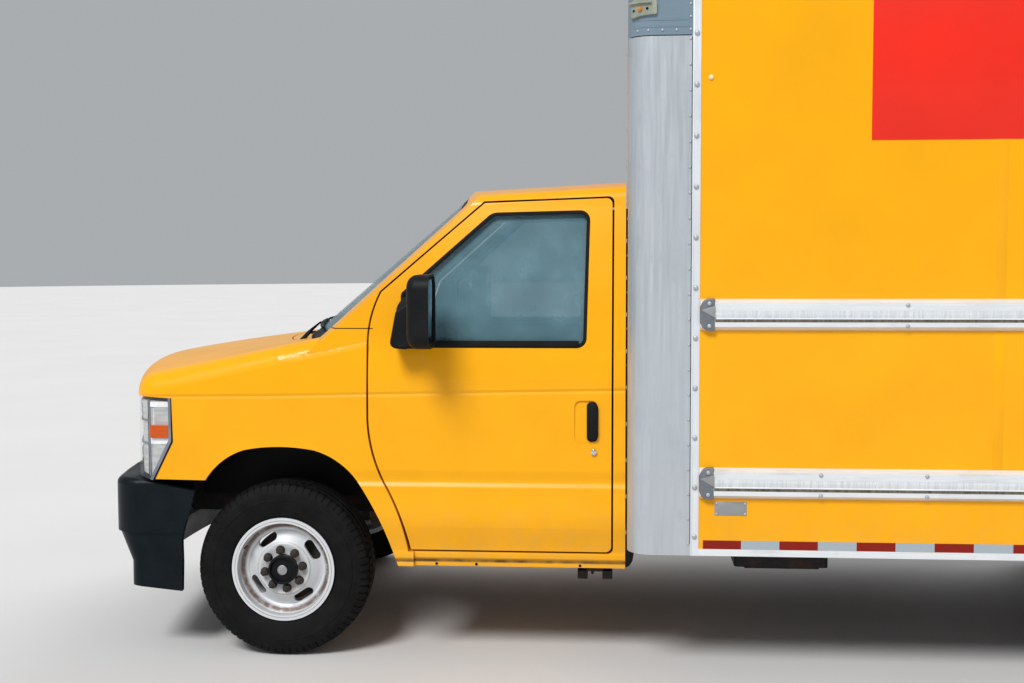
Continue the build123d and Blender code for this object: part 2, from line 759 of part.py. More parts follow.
# Grille: horizontal bars in a frame, on a closed back
grille_half = lamp_inner_y - 0.5
grille_low = 765
grille_high = hood_front_z - panel_gap
grille_rows = 4
grille_frame = 26
bar_height = 24
row_pitch = (grille_high - grille_low - 2 * grille_frame + bar_height) / grille_rows
with BuildPart() as grille_slots:
    with BuildSketch(Plane.YZ.offset(front_axle_x - 900)):
        for row in range(grille_rows):
            with Locations((0, grille_low + grille_frame + (row + 0.5) * row_pitch - bar_height / 2)):
                RectangleRounded(2 * (grille_half - grille_frame), row_pitch - bar_height, 12)
    extrude(amount=400)
    add(nose_form(30), mode=Mode.SUBTRACT)
with BuildPart() as grille:
    add(nose_outer)
    add(nose_form(46), mode=Mode.SUBTRACT)
    add(block(-900, -500, -grille_half, grille_half, grille_low, grille_high), mode=Mode.INTERSECT)
    add(grille_slots.part, mode=Mode.SUBTRACT)
save("grille", grille)

# Headlamps: deep lens housings that wrap round the nose's corners
with BuildPart() as headlamps:
    add(nose_form(0.5))
    add(nose_form(55), mode=Mode.SUBTRACT)
    with BuildSketch(Plane.XZ.offset(-1100)):
        with BuildLine():
            Polyline(*axle_points(headlamp_outline), close=True)
        make_face()
    extrude(amount=2200, mode=Mode.INTERSECT)
    add(block(-900, -400, -lamp_inner_y, lamp_inner_y, 100, 1300), mode=Mode.SUBTRACT)
save("headlamps", headlamps)

# Cab body
cavity = cab_form(cab_wall, roof_wall, 45, cavity_back)
step_inner_y = 720
with BuildPart() as cabin_space:
    add(cavity)
    with BuildSketch(Plane.XZ.offset(-1100)):
        with BuildLine():
            Polyline(*axle_points([(cab_back, floor_top), (450, floor_top), (330, 870), (290, 1225), (-40, 1312),
                                   (-40, 2300), (cab_back, 2300)]), close=True)
        make_face()
    extrude(amount=2200, mode=Mode.INTERSECT)
with BuildPart() as fender_zone:
    add(nose_outer)
    for side in (-1, 1):
        add(block(-900, fender_rear + 2, min(side * 985, side * 1100), max(side * 985, side * 1100), 100, 1345))
    add(nose_form(skin + 0.5), mode=Mode.SUBTRACT)
    add(cab_behind_fender, mode=Mode.SUBTRACT)
    add(block(-900, fender_rear + 2, -1100, 1100, 100, pillar_seam_z + 1), mode=Mode.INTERSECT)
with BuildPart() as cab_shell:
    add(cab_outer)
    with BuildSketch(Plane.XZ.offset(-1100)):
        with BuildLine():
            Polyline(*axle_points([(cab_back, rocker_bottom), (cab_back, 2300), (-300, 2300), (-300, 1290),
                                   (262, 1200), (300, 840), (300, 640), (500, rocker_bottom)]), close=True)
        make_face()
    extrude(amount=2200, mode=Mode.INTERSECT)
    add(fender_zone.part, mode=Mode.SUBTRACT)
    add(side_slab(-1100, -540, arch_outline(20)), mode=Mode.SUBTRACT)
    add(side_slab(540, 1100, arch_outline(20)), mode=Mode.SUBTRACT)
    add(side_slab(-1100, -step_inner_y, side_outline(panel_gap)), mode=Mode.SUBTRACT)
    add(side_slab(step_inner_y, 1100, side_outline(panel_gap)), mode=Mode.SUBTRACT)
    add(cabin_space.part, mode=Mode.SUBTRACT)
    add(block(-300, 1500, -690, 690, 100, floor_top - floor_thickness), mode=Mode.SUBTRACT)
    for side in (-1, 1):
        add(block(570, 1500, min(side * 750, side * 930), max(side * 750, side * 930), 100, 440),
            mode=Mode.SUBTRACT)
glass_plane = Plane(origin=glass_corner, x_dir=(0, 1, 0), z_dir=glass_normal)
glass_half_low = 905
glass_half_high = 765
glass_low = 137
glass_sag = 108
glass_high = -722


def windshield_outline(grow=0):
    """The windshield seen square on, with a bowed lower edge."""
    low = glass_half_low + grow
    high = glass_half_high + grow
    with BuildSketch() as outline:
        with BuildLine():
            ThreePointArc((-low, glass_low + grow), (0, glass_low + glass_sag + grow), (low, glass_low + grow))
            Line((low, glass_low + grow), (high, glass_high - grow))
            ThreePointArc((high, glass_high - grow), (0, glass_high - 30 - grow), (-high, glass_high - grow))
            Line((-high, glass_high - grow), (-low, glass_low + grow))
        make_face()
        fillet(outline.vertices(), 60)
    return outline.sketch


with BuildPart() as windshield_hole:
    with BuildSketch(glass_plane.offset(-200)):
        add(windshield_outline(skin_clearance))
    extrude(amount=500)
with BuildPart() as windshield:
    with BuildSketch(glass_plane.offset(-200)):
        add(windshield_outline())
    extrude(amount=500)
    add(cab_form(0, 0, 5), mode=Mode.INTERSECT)
    add(cab_form(0, 0, 11), mode=Mode.SUBTRACT)
save("windshield", windshield)

seat_base = floor_top + 150
roof_split = Plane(origin=(front_axle_x + 823, 0, 1943), x_dir=(0, 1, 0),
                   z_dir=(-sin(radians(1.8)), 0, cos(radians(1.8))))
with BuildPart() as cab_body:
    add(cab_shell.part)
    add(windshield_hole.part, mode=Mode.SUBTRACT)
    split(bisect_by=roof_split, keep=Keep.BOTTOM)
    for side in (-1, 1):
        add(block(800, 1180, min(side * 190, side * 620), max(side * 190, side * 620), floor_top, seat_base))
save("cab_body", cab_body)

with BuildPart() as cab_roof:
    add(cab_outer)
    split(bisect_by=roof_split, keep=Keep.TOP)
    add(cavity, mode=Mode.SUBTRACT)
    add(windshield_hole.part, mode=Mode.SUBTRACT)
save("cab_roof", cab_roof)

# Doors: an outer skin to the outline, an inner panel that stands back from it, and the window's opening
door_skin = 20
door_rabbet = 18
door_inner = cab_form(door_thickness, 0, 0)
door_middle = cab_form(door_skin, 0, 0)
glass_depth = 26
handle_x = 1287
handle_z = 1015
handle_width = 96
handle_height = 178
handle_corner = 26
handle_depth = 12
door_recess_floor = cab_form(handle_depth, 0, 0)
for side_name, side in (("left", -1), ("right", 1)):
    y_from = min(side * 720, side * 1100)
    y_to = max(side * 720, side * 1100)
    with BuildPart() as door:
        add(side_slab(y_from, y_to, side_outline()))
        add(cab_outer, mode=Mode.INTERSECT)
        add(door_middle, mode=Mode.SUBTRACT)
    outer_skin = door.part
    with BuildPart() as handle_recess:
        with BuildSketch(Plane.XZ.offset(-y_from)):
            with Locations((front_axle_x + handle_x, handle_z)):
                RectangleRounded(handle_width, handle_height, handle_corner)
        extrude(amount=y_from - y_to)
        add(door_recess_floor, mode=Mode.SUBTRACT)
    with BuildPart() as panel:
        add(side_slab(y_from, y_to, side_outline(-door_rabbet)))
        add(cab_form(door_skin - 1, 0, 0), mode=Mode.INTERSECT)
        add(door_inner, mode=Mode.SUBTRACT)
    with BuildPart() as door:
        add(outer_skin)
        add(panel.part)
        add(side_slab(y_from, y_to, window_outline()), mode=Mode.SUBTRACT)
        add(handle_recess.part, mode=Mode.SUBTRACT)
    save("door_" + side_name, door)
    with BuildPart() as glass:
        add(side_slab(y_from, y_to, window_outline(skin_clearance)))
        add(cab_form(glass_depth, 0, 0), mode=Mode.INTERSECT)
        add(cab_form(glass_depth + 5, 0, 0), mode=Mode.SUBTRACT)
    save("door_glass_" + side_name, glass)

# Mirrors: a housing that faces rearwards, on an arm from the door's front corner
mirror_in = 1062
mirror_out = 1282
mirror_low = 1331
mirror_high = 1628
mirror_rear = 673
mirror_depth = 92
for side_name, side in (("left", -1), ("right", 1)):
    middle_y = side * (mirror_in + mirror_out) / 2
    with BuildPart() as mirror_head:
        with BuildSketch(Plane.YZ.offset(front_axle_x + mirror_rear)):
            with Locations((middle_y, (mirror_low + mirror_high) / 2)):
                RectangleRounded(mirror_out - mirror_in, mirror_high - mirror_low, 60)
        extrude(amount=-mirror_depth)
        fillet(mirror_head.edges().group_by(Axis.X)[0], 44)
        with BuildSketch(Plane.YZ.offset(front_axle_x + mirror_rear)):
            with Locations((middle_y, (mirror_low + mirror_high) / 2)):
                RectangleRounded(mirror_out - mirror_in - 20, mirror_high - mirror_low - 20, 50)
        extrude(amount=-12, mode=Mode.SUBTRACT)
    with BuildPart() as mirror:
        add(mirror_head.part)
        with BuildSketch(Plane.XZ.offset(-side * (mirror_in + 60))):
            with BuildLine():
                Polyline(*axle_points([(496, 1338), (552, 1330), (600, 1352), (606, 1440), (566, 1500),
                                       (520, 1470)]), close=True)
            make_face()
        extrude(amount=side * (mirror_in + 60 - 940))
        add(cab_outer, mode=Mode.SUBTRACT)
    save("mirror_" + side_name, mirror)

# Front bumper: a hollow shell round the nose, with a deep valance under it
bumper_top = 757
bumper_bottom = 523
valance_step = 390
valance_bottom = 266
bumper_wall = 28


def bumper_plan(front_in, side_in, back_out=0):
    """The bumper seen from above, with its front and its sides moved inwards."""
    with BuildSketch() as plan:
        with BuildLine():
            corner_x = front_axle_x - 727 + front_in
            back_x = front_axle_x - 370 + back_out
            half = 985 - side_in
            ThreePointArc((corner_x, -half), (front_axle_x - front_overhang + front_in, 0), (corner_x, half))
            Polyline((corner_x, half), (back_x, half), (back_x, -half), (corner_x, -half))
        make_face()
        fillet(plan.vertices().filter_by(lambda v: v.X < front_axle_x - 500), 120 - front_in)
    return plan.sketch


def bumper_form(inset):
    """The bumper's outer form: upright above, slanting back to a lower, narrower valance."""
    back_out = 4 * inset
    with BuildPart() as form:
        with BuildSketch(Plane.XY.offset(bumper_bottom)):
            add(bumper_plan(inset, inset, back_out))
        extrude(amount=bumper_top - bumper_bottom - inset)
        top_edges = form.edges().group_by(Axis.Z)[-1].filter_by(lambda e: e.center().X < front_axle_x - 450)
        fillet(top_edges, 30 - inset / 2)
        with BuildSketch(Plane.XY.offset(valance_step)):
            add(bumper_plan(60 + inset, 28 + inset, back_out))
        with BuildSketch(Plane.XY.offset(bumper_bottom)):
            add(bumper_plan(8 + inset, 8 + inset, back_out))
        loft(ruled=True)
        with BuildSketch(Plane.XY.offset(valance_bottom - inset)):
            add(bumper_plan(60 + inset, 28 + inset, back_out))
        extrude(amount=valance_step - valance_bottom + inset)
    return form.part


with BuildPart() as front_bumper:
    add(bumper_form(0))
    add(bumper_form(bumper_wall), mode=Mode.SUBTRACT)
    with BuildSketch(Plane.XZ.offset(-1100)):
        with BuildLine():
            Polyline(*axle_points([(-900, 285), (-640, 285), (-448, valance_bottom), (-440, 495), (-375, 705),
                                   (-560, 738), (-650, bumper_top), (-900, bumper_top)]), close=True)
        make_face()
    extrude(amount=2200, mode=Mode.INTERSECT)
    for side in (-1, 1):
        add(block(-800, frame_front_x - front_axle_x, min(side * 370, side * 431), max(side * 370, side * 431),
                  530, 680))
save("front_bumper", front_bumper)

# Wheelhouses: the black liners over the front wheels, each with an inner wall
liner_gap = 12
liner_sheet = 4
liner_inner_y = 556
with BuildPart() as wheelhouses:
    for side in (-1, 1):
        add(side_slab(min(side * liner_inner_y, side * 985), max(side * liner_inner_y, side * 985),
                      arch_outline(liner_gap + liner_sheet)))
    for side in (-1, 1):
        inner = side * (liner_inner_y + liner_sheet)
        outer = side * 990
        add(side_slab(min(inner, outer), max(inner, outer), arch_outline(liner_gap)), mode=Mode.SUBTRACT)
    add(block(-468, 510, -1100, 1100, 620, 1000), mode=Mode.INTERSECT)
    add(cab_body.part, mode=Mode.SUBTRACT)
    add(nose_form(skin), mode=Mode.INTERSECT)
save("wheelhouses", wheelhouses)

# Dashboard with the steering column, against the firewall
wheel_x = 660
wheel_y = -430
wheel_z = 1250
column_angle = 30
wheel_plane = Plane(origin=(front_axle_x + wheel_x, wheel_y, wheel_z), x_dir=(0, 1, 0),
                    z_dir=(cos(radians(column_angle)), 0, sin(radians(column_angle))))
hub_half = 13
dash_half = 925
with BuildPart() as dashboard:
    with BuildSketch(Plane.XZ.offset(-dash_half)):
        with BuildLine():
            Polyline(*axle_points([(-30, 1250), (-30, 1322), (160, 1338), (440, 1318), (512, 1270), (518, 1180),
                                   (480, 1060), (420, 1010), (250, 1010)]), close=True)
        make_face()
    extrude(amount=2 * dash_half)
    add(cabin_space.part, mode=Mode.INTERSECT)
    with BuildSketch(wheel_plane.offset(-hub_half - 6)):
        Circle(34)
    extrude(amount=-220)
save("dashboard", dashboard)

# Steering wheel: rim, hub and spokes
with BuildPart() as steering_wheel:
    with Locations(wheel_plane):
        Torus(178, 14)
    with BuildSketch(wheel_plane.offset(-hub_half)):
        Circle(66)
    extrude(amount=2 * hub_half)
    with BuildSketch(wheel_plane.offset(-6)):
        for angle in (-20, 200, 270):
            with PolarLocations(110, 1, start_angle=angle):
                Rectangle(130, 38)
    extrude(amount=12)
save("steering_wheel", steering_wheel)

# Seats on their pedestals: cushion, back and headrest
seat_y = 430
seat_half = 255
with BuildPart() as seats:
    for y in (-seat_y, seat_y):
        with BuildSketch(Plane.XZ.offset(-y - seat_half)):
            with BuildLine():
                Polyline(*axle_points([(775, seat_base), (762, 980), (800, 1012), (1170, 990), (1282, 1590),
                                       (1318, 1622), (1362, 1612), (1372, 1570), (1300, 960), (1262, seat_base)]),
                         close=True)
            make_face()
        extrude(amount=2 * seat_half)
        with BuildSketch(Plane.XZ.offset(-y - 130)):
            with BuildLine():
                Polyline(*axle_points([(1316, 1610), (1300, 1660), (1316, 1812), (1345, 1828), (1388, 1820),
                                       (1392, 1660), (1360, 1600)]), close=True)
            make_face()
        extrude(amount=260)
save("seats", seats)

# Exhaust: pipe, muffler and a tail pipe that comes out ahead of the right rear wheels
pipe_radius = 32
muffler_y = 300
exhaust_z = frame_top - rail_depth - 65
exhaust_path = [(250, 240, 540), (520, 260, exhaust_z), (1500, muffler_y, exhaust_z),
                (2500, muffler_y, exhaust_z), (2760, 520, exhaust_z - 15), (2800, 1130, exhaust_z - 25)]
with BuildPart() as exhaust:
    with BuildLine() as pipe_line:
        FilletPolyline(*[(front_axle_x + x, y, z) for x, y, z in exhaust_path], radius=110)
    with BuildSketch(Plane(origin=pipe_line.line @ 0, z_dir=pipe_line.line % 0)):
        Circle(pipe_radius)
    sweep(path=pipe_line.line)
    with BuildSketch(Plane.YZ.offset(front_axle_x + 1500)):
        with Locations((muffler_y, exhaust_z)):
            Ellipse(115, 60)
    extrude(amount=620)
    for x in (1620, 2000):
        add(block(x - 20, x + 20, 366, 374, exhaust_z, frame_top - rail_depth))
    outlet = pipe_line.line @ 1
    with BuildSketch(Plane(origin=outlet, z_dir=pipe_line.line % 1)):
        Circle(pipe_radius - 3)
    extrude(amount=-90, mode=Mode.SUBTRACT)
save("exhaust", exhaust)

# Fuel tank between the rails and the two rear crossmembers
with BuildPart() as fuel_tank:
    tank_front = crossmember_x[4] + 35
    tank_rear = crossmember_x[5] - 35
    add(block(tank_front, tank_rear, -335, 335, 405, 665))
    fillet(fuel_tank.edges().filter_by(Axis.X), 50)
save("fuel_tank", fuel_tank)

# Battery box under the driver's side of the floor, on a bracket from the rail
with BuildPart() as battery_box:
    add(block(1908, 2299, -860, -560, 388, 640))
    fillet(battery_box.edges().filter_by(Axis.Z), 20)
    add(block(1960, 2250, -565, -rail_outer_y, 560, 620))
    add(block(1950, 2260, -861, -600, 383, 389))
save("battery_box", battery_box)

def box_plan(inset, length):
    """The front end of the cargo box seen from above, with round corners, moved inwards by inset."""
    with BuildSketch() as plan:
        with Locations((box_front_x + (inset + length) / 2, 0)):
            Rectangle(length - inset, 2 * (box_half_width - inset))
        fillet(plan.vertices().filter_by(lambda v: v.X < box_front_x + length - 1), corner_radius - inset)
    return plan.sketch


# Cargo box floor: sills on the rails, crossmembers, and the deck
joist_pitch = 406
joist_height = 68
joist_count = 12
post_inner_y = box_half_width - wall_thickness
deck_bottom = deck_top - deck_thickness
floor_front_x = box_front_x + wall_thickness
floor_rear_x = box_rear_x - box_rear_frame
joist_start = box_front_x + extrusion_start + 60 - front_axle_x
with BuildPart() as box_floor:
    with BuildSketch(Plane.XY.offset(deck_bottom)):
        add(box_plan(wall_thickness, box_length - box_rear_frame))
    extrude(amount=deck_thickness)
    for side in (-1, 1):
        inner = side * (rail_outer_y - rail_flange)
        outer = side * rail_outer_y
        add(block(floor_front_x - front_axle_x, floor_rear_x - front_axle_x, min(inner, outer),
                  max(inner, outer), frame_top, deck_bottom))
    with BuildSketch(Plane.XZ.offset(-post_inner_y)):
        for number in range(joist_count):
            x = front_axle_x + joist_start + number * joist_pitch
            with Locations((x, deck_bottom - joist_height / 2)):
                Rectangle(44, joist_height)
            with Locations((x + 3, deck_bottom - joist_height / 2)):
                Rectangle(38, joist_height - 12, mode=Mode.SUBTRACT)
    extrude(amount=2 * post_inner_y)
save("box_floor", box_floor)


def crown_form(inset, x_from, x_to):
    """The box's outline seen from behind, under its crowned roof."""
    half = box_half_width + 3 - inset
    with BuildPart() as crown:
        with BuildSketch(Plane.YZ.offset(x_from)):
            with BuildLine():
                edge_z = roof_edge_top - inset
                ThreePointArc((-half, edge_z), (0, box_top - inset), (half, edge_z))
                Polyline((half, edge_z), (half, 400), (-half, 400), (-half, edge_z))
            make_face()
        extrude(amount=x_to - x_from)
    return crown.part


# Front wall, and the round corners beside it with their upright extrusions
corner_inner_y = 1000
wall_bottom = 760
corner_sheet = 8
with BuildPart() as front_wall:
    add(block(box_front_x - front_axle_x, floor_front_x - front_axle_x, -corner_inner_y + skin_clearance,
              corner_inner_y - skin_clearance, wall_bottom, cap_bottom))
save("front_wall", front_wall)

with BuildPart() as front_corners:
    with BuildSketch(Plane.XY.offset(deck_bottom)):
        add(box_plan(0, extrusion_start))
        add(box_plan(wall_thickness, extrusion_start + 10), mode=Mode.SUBTRACT)
    extrude(amount=cap_bottom - deck_bottom)
    with BuildSketch(Plane.XY.offset(skirt_bottom)):
        add(box_plan(0, extrusion_start))
        add(box_plan(corner_sheet, extrusion_start + 10), mode=Mode.SUBTRACT)
    extrude(amount=deck_bottom - skirt_bottom)
    add(block(box_front_x - front_axle_x - 5, box_front_x - front_axle_x + 60, -corner_inner_y, corner_inner_y,
              100, cap_bottom), mode=Mode.SUBTRACT)
    for side in (-1, 1):
        inner = side * post_inner_y
        outer = side * (box_half_width + 3)
        start = box_front_x + extrusion_start - front_axle_x
        add(block(start, start + extrusion_width, min(inner, outer), max(inner, outer),
                  skirt_bottom, wall_top))
save("front_corners", front_corners)

# Side walls: thin sheet on posts, with a skirt below the floor that opens round the rear wheels
wall_start = box_front_x + extrusion_start + extrusion_width - front_axle_x
wall_end = floor_rear_x - front_axle_x
sheet_thickness = 6
post_width = 40
post_count = 11
skirt_rail_top = 541
opening_bottom_half = 525
opening_top_half = 440
opening_top = 738
with BuildPart() as wheel_opening:
    with BuildSketch(Plane.XZ.offset(-1300)):
        with BuildLine():
            Polyline(
                (rear_axle_x - opening_bottom_half, 400),
                (rear_axle_x - opening_bottom_half, skirt_bottom),
                (rear_axle_x - opening_top_half, opening_top),
                (rear_axle_x + opening_top_half, opening_top),
                (rear_axle_x + opening_bottom_half, skirt_bottom),
                (rear_axle_x + opening_bottom_half, 400),
                close=True,
            )
        make_face()
    extrude(amount=2600)
with BuildPart() as side_walls:
    for side in (-1, 1):
        skin_in = side * (box_half_width - sheet_thickness)
        skin_out = side * box_half_width
        add(block(wall_start, wall_end, min(skin_in, skin_out), max(skin_in, skin_out), skirt_rail_top,
                  wall_top))
        post_in = side * post_inner_y
        for number in range(post_count):
            x = joist_start + number * joist_pitch
            add(block(x, x + post_width, min(post_in, skin_in), max(post_in, skin_in), deck_bottom, wall_top))
    add(wheel_opening.part, mode=Mode.SUBTRACT)
save("side_walls", side_walls)

# Rub rails along the sides, and the rails along the bottom of the skirts
rub_start = wall_start + 2
with BuildPart() as rub_rails:
    for side in (-1, 1):
        for low in (upper_rub_bottom, lower_rub_bottom):
            with BuildSketch(Plane.YZ.offset(front_axle_x + rub_start)):
                with BuildLine():
                    face = side * box_half_width
                    out = side * (box_half_width + rub_depth)
                    groove = side * (box_half_width + rub_depth - 5)
                    Polyline((face, low), (face, low + rub_height), (out, low + rub_height - 14),
                             (out, low + 78), (groove, low + 74), (groove, low + 48), (out, low + 44),
                             (out, low + 14), close=True)
                make_face()
            extrude(amount=wall_end - rub_start)
    for side in (-1, 1):
        rail_in = side * (box_half_width - 24)
        rail_out = side * (box_half_width + 2)
        add(block(wall_start, wall_end, min(rail_in, rail_out), max(rail_in, rail_out), skirt_bottom,
                  skirt_rail_top))
    add(wheel_opening.part, mode=Mode.SUBTRACT)
save("rub_rails", rub_rails)

# Roof: crowned sheet between side rails, on bows
roof_sheet = 5
bow_pitch = 609
bow_count = 7
with BuildPart() as bows:
    for number in range(bow_count):
        x = joist_start + 100 + number * bow_pitch
        add(block(x, x + post_width, -post_inner_y - 5, post_inner_y + 5, wall_top, box_top))
    add(crown_form(roof_sheet - 1, box_front_x, box_rear_x), mode=Mode.INTERSECT)
    add(crown_form(roof_sheet + 30, box_front_x, box_rear_x), mode=Mode.SUBTRACT)
with BuildPart() as box_roof:
    add(crown_form(0, front_axle_x + wall_start, front_axle_x + wall_end))
    add(crown_form(roof_sheet, box_front_x, box_rear_x), mode=Mode.SUBTRACT)
    add(block(wall_start, wall_end, -2000, 2000, wall_top, box_top + 50), mode=Mode.INTERSECT)
    for side in (-1, 1):
        rail_in = side * post_inner_y
        rail_out = side * (box_half_width - 1)
        add(block(wall_start, wall_end, min(rail_in, rail_out), max(rail_in, rail_out), wall_top,
                  wall_top + 40))
    add(bows.part)
save("box_roof", box_roof)

# Front cap: a moulded nose over the front wall, with a round front edge
cap_shell = 6
cap_round = 92


def cap_form(inset):
    """The cap's outer form, moved inwards by inset."""
    with BuildPart() as form:
        with BuildSketch(Plane.XY.offset(cap_bottom - inset)):
            add(box_plan(inset, extrusion_start + 2 * inset))
        extrude(amount=box_top - cap_bottom + 50)
        add(crown_form(inset, box_front_x - 50, box_rear_x), mode=Mode.INTERSECT)
        front_edges = form.edges().filter_by(lambda e: e.center().Z > wall_top)
        front_edges = front_edges.filter_by(lambda e: e.center().X < box_front_x + extrusion_start - 4)
        fillet(front_edges, cap_round - inset)
    return form.part


with BuildPart() as front_cap:
    add(cap_form(0))
    add(cap_form(cap_shell), mode=Mode.SUBTRACT)
save("front_cap", front_cap)

# Rear frame: two posts, header and sill round the roll-up door, with two holes for a number plate
door_half = 1067
door_high = box_top - header_height
plate_spacing = 177.8
plate_hole_radius = 3.5
plate_y = -300
plate_z = 800
with BuildPart() as rear_frame:
    add(block(wall_end, wall_end + box_rear_frame, -1222, 1222, skirt_bottom, box_top))
    add(crown_form(0, front_axle_x + wall_end - 10, box_rear_x + 10), mode=Mode.INTERSECT)
    add(block(wall_end - 5, wall_end + box_rear_frame + 5, -door_half, door_half, deck_top, door_high),
        mode=Mode.SUBTRACT)
    add(block(wall_end - 5, wall_end + box_rear_frame + 5, -1100, 1100, 400, frame_top), mode=Mode.SUBTRACT)
    with BuildSketch(Plane.YZ.offset(box_rear_x)):
        with Locations((plate_y, plate_z)):
            with GridLocations(plate_spacing, 1, 2, 1):
                Circle(plate_hole_radius)
    extrude(amount=-25, mode=Mode.SUBTRACT)
save("rear_frame", rear_frame)

# Roll-up door: one curtain with grooves between its panels
curtain_clearance = 4
curtain_thickness = 26
curtain_set_back = 62
curtain_panels = 8
with BuildPart() as rear_door:
    curtain_x = wall_end + box_rear_frame - curtain_set_back
    curtain_half = door_half - curtain_clearance
    add(block(curtain_x, curtain_x + curtain_thickness, -curtain_half, curtain_half, deck_top,
              door_high - curtain_clearance))
    curtain_pitch = (door_high - deck_top) / curtain_panels
    for number in range(1, curtain_panels):
        z = deck_top + number * curtain_pitch
        groove_x = curtain_x + curtain_thickness - 8
        add(block(groove_x, groove_x + 13, -1100, 1100, z - 5, z + 5), mode=Mode.SUBTRACT)
save("rear_door", rear_door)

# Rear bumper: a step on two legs from the rails, with a hole for a hitch ball
step_depth = 150
step_half = 1100
step_top = 550
step_height = 64
step_wall = 8
ball_hole_radius = 13
bumper_end = overall_length / 2 - front_axle_x
with BuildPart() as rear_bumper:
    step_front = bumper_end - step_depth
    add(block(step_front, bumper_end, -step_half, step_half, step_top - step_height, step_top))
    add(block(step_front - 5, bumper_end - step_wall, -step_half + step_wall, step_half - step_wall,
              step_top - step_height - 5, step_top - step_wall), mode=Mode.SUBTRACT)
    for side in (-1, 1):
        leg_in = side * (rail_outer_y - rail_flange)
        leg_out = side * rail_outer_y
        leg_start = rail_end_x - front_axle_x
        add(block(leg_start, step_front + 60, min(leg_in, leg_out), max(leg_in, leg_out),
                  step_top - step_height, frame_top))
    with BuildSketch(Plane.XY.offset(step_top)):
        with Locations((front_axle_x + bumper_end - step_depth / 2, 0)):
            Circle(ball_hole_radius)
    extrude(amount=-30, mode=Mode.SUBTRACT)
save("rear_bumper", rear_bumper)

# Tail lamps on the sill, and marker lamps on the header, the cap and its corners
lamp_depth = 18
tail_lamp_y = [835, 1010]
tail_lamp_z = 775
header_lamp_y = [-1130, -180, 0, 180, 1130]
cap_lamp_y = [-180, 0, 180]
marker_z = box_top - 170
cap_lamp_z = box_top - 135
corner_lamp_z = cap_bottom + 125
corner_lamp_x = 89
corner_lamp_root = 40
with BuildPart() as tail_lamps:
    with BuildSketch(Plane.YZ.offset(box_rear_x)):
        for side in (-1, 1):
            for y in tail_lamp_y:
                with Locations((side * y, tail_lamp_z)):
                    RectangleRounded(150, 84, 24)
    extrude(amount=lamp_depth)
save("tail_lamps", tail_lamps)

with BuildPart() as marker_lamps:
    with BuildSketch(Plane.YZ.offset(box_rear_x)):
        for y in header_lamp_y:
            with Locations((y, marker_z)):
                RectangleRounded(100, 34, 14)
    extrude(amount=lamp_depth)
    with BuildSketch(Plane.YZ.offset(box_front_x - lamp_depth)):
        for y in cap_lamp_y:
            with Locations((y, cap_lamp_z)):
                RectangleRounded(100, 34, 14)
    extrude(amount=lamp_depth + corner_radius)
    for side in (-1, 1):
        with BuildSketch(Plane.XZ.offset(-side * (box_half_width - corner_lamp_root))):
            with Locations((box_front_x + corner_lamp_x, corner_lamp_z)):
                RectangleRounded(112, 54, 26)
        extrude(amount=-side * (corner_lamp_root + lamp_depth))
    add(cap_form(0), mode=Mode.SUBTRACT)
save("marker_lamps", marker_lamps)
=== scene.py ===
# %% [markdown]
# A box truck with a short van cab, seen from the driver's side. The rigid parts come from the packed
# model, which is the frame of this scene, and this script gives them their finish and adds what a maker
# would fit last: tread, nuts, rivets, seals, lenses, wipers and seats. Everything is in metres, with the
# front along -X, the driver's side along -Y, and Z up from the ground.

import contextlib
import json
import math

import bpy
from mathutils import Matrix, Vector

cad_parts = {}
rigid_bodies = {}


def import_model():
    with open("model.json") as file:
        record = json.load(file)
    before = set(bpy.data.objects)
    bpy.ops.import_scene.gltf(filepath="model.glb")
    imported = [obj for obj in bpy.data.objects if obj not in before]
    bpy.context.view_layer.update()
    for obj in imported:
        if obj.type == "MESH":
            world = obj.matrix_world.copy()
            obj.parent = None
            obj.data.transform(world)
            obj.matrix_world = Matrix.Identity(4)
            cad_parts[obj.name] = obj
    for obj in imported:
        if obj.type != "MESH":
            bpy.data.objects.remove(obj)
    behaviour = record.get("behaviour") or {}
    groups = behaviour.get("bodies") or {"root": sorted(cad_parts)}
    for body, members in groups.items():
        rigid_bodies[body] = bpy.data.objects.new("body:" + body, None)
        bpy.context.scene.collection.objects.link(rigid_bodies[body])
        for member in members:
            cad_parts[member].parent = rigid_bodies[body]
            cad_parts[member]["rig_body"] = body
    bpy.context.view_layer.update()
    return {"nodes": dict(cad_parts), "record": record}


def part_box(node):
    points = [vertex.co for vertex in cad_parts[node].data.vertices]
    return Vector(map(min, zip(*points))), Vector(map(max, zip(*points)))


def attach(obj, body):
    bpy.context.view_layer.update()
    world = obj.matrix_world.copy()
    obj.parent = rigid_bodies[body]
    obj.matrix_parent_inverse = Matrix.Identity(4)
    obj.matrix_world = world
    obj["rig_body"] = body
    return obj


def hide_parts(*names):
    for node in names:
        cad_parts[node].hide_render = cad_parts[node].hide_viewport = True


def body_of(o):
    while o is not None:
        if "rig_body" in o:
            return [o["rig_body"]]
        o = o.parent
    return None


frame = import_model()
nodes = frame["nodes"]
scene = bpy.context.scene

# %% [markdown]
# The places of most trimmings are measured on the real truck from the front axle, so one helper turns a
# distance from the axle and a height, both in millimetres, into the frame's own metres. The axle itself
# is read from the front tyre's box, so the script follows the frame if it changes.

# %% Measure from the front axle
MM = 0.001
SIDES = (("left", -1), ("right", 1))
tyre_low, tyre_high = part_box("front_tyre_left")
rear_low, rear_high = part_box("rear_tyres_left")
axle_x = (tyre_low.x + tyre_high.x) / 2
axle_z = (tyre_low.z + tyre_high.z) / 2
rear_axle_x = (rear_low.x + rear_high.x) / 2


def at(x, y, z):
    """A place x behind the front axle, y across and z up, all in millimetres, as a point in metres."""
    return Vector((axle_x + x * MM, y * MM, z * MM))


print("front axle at x =", round(axle_x, 4), "rear axle at x =", round(rear_axle_x, 4))

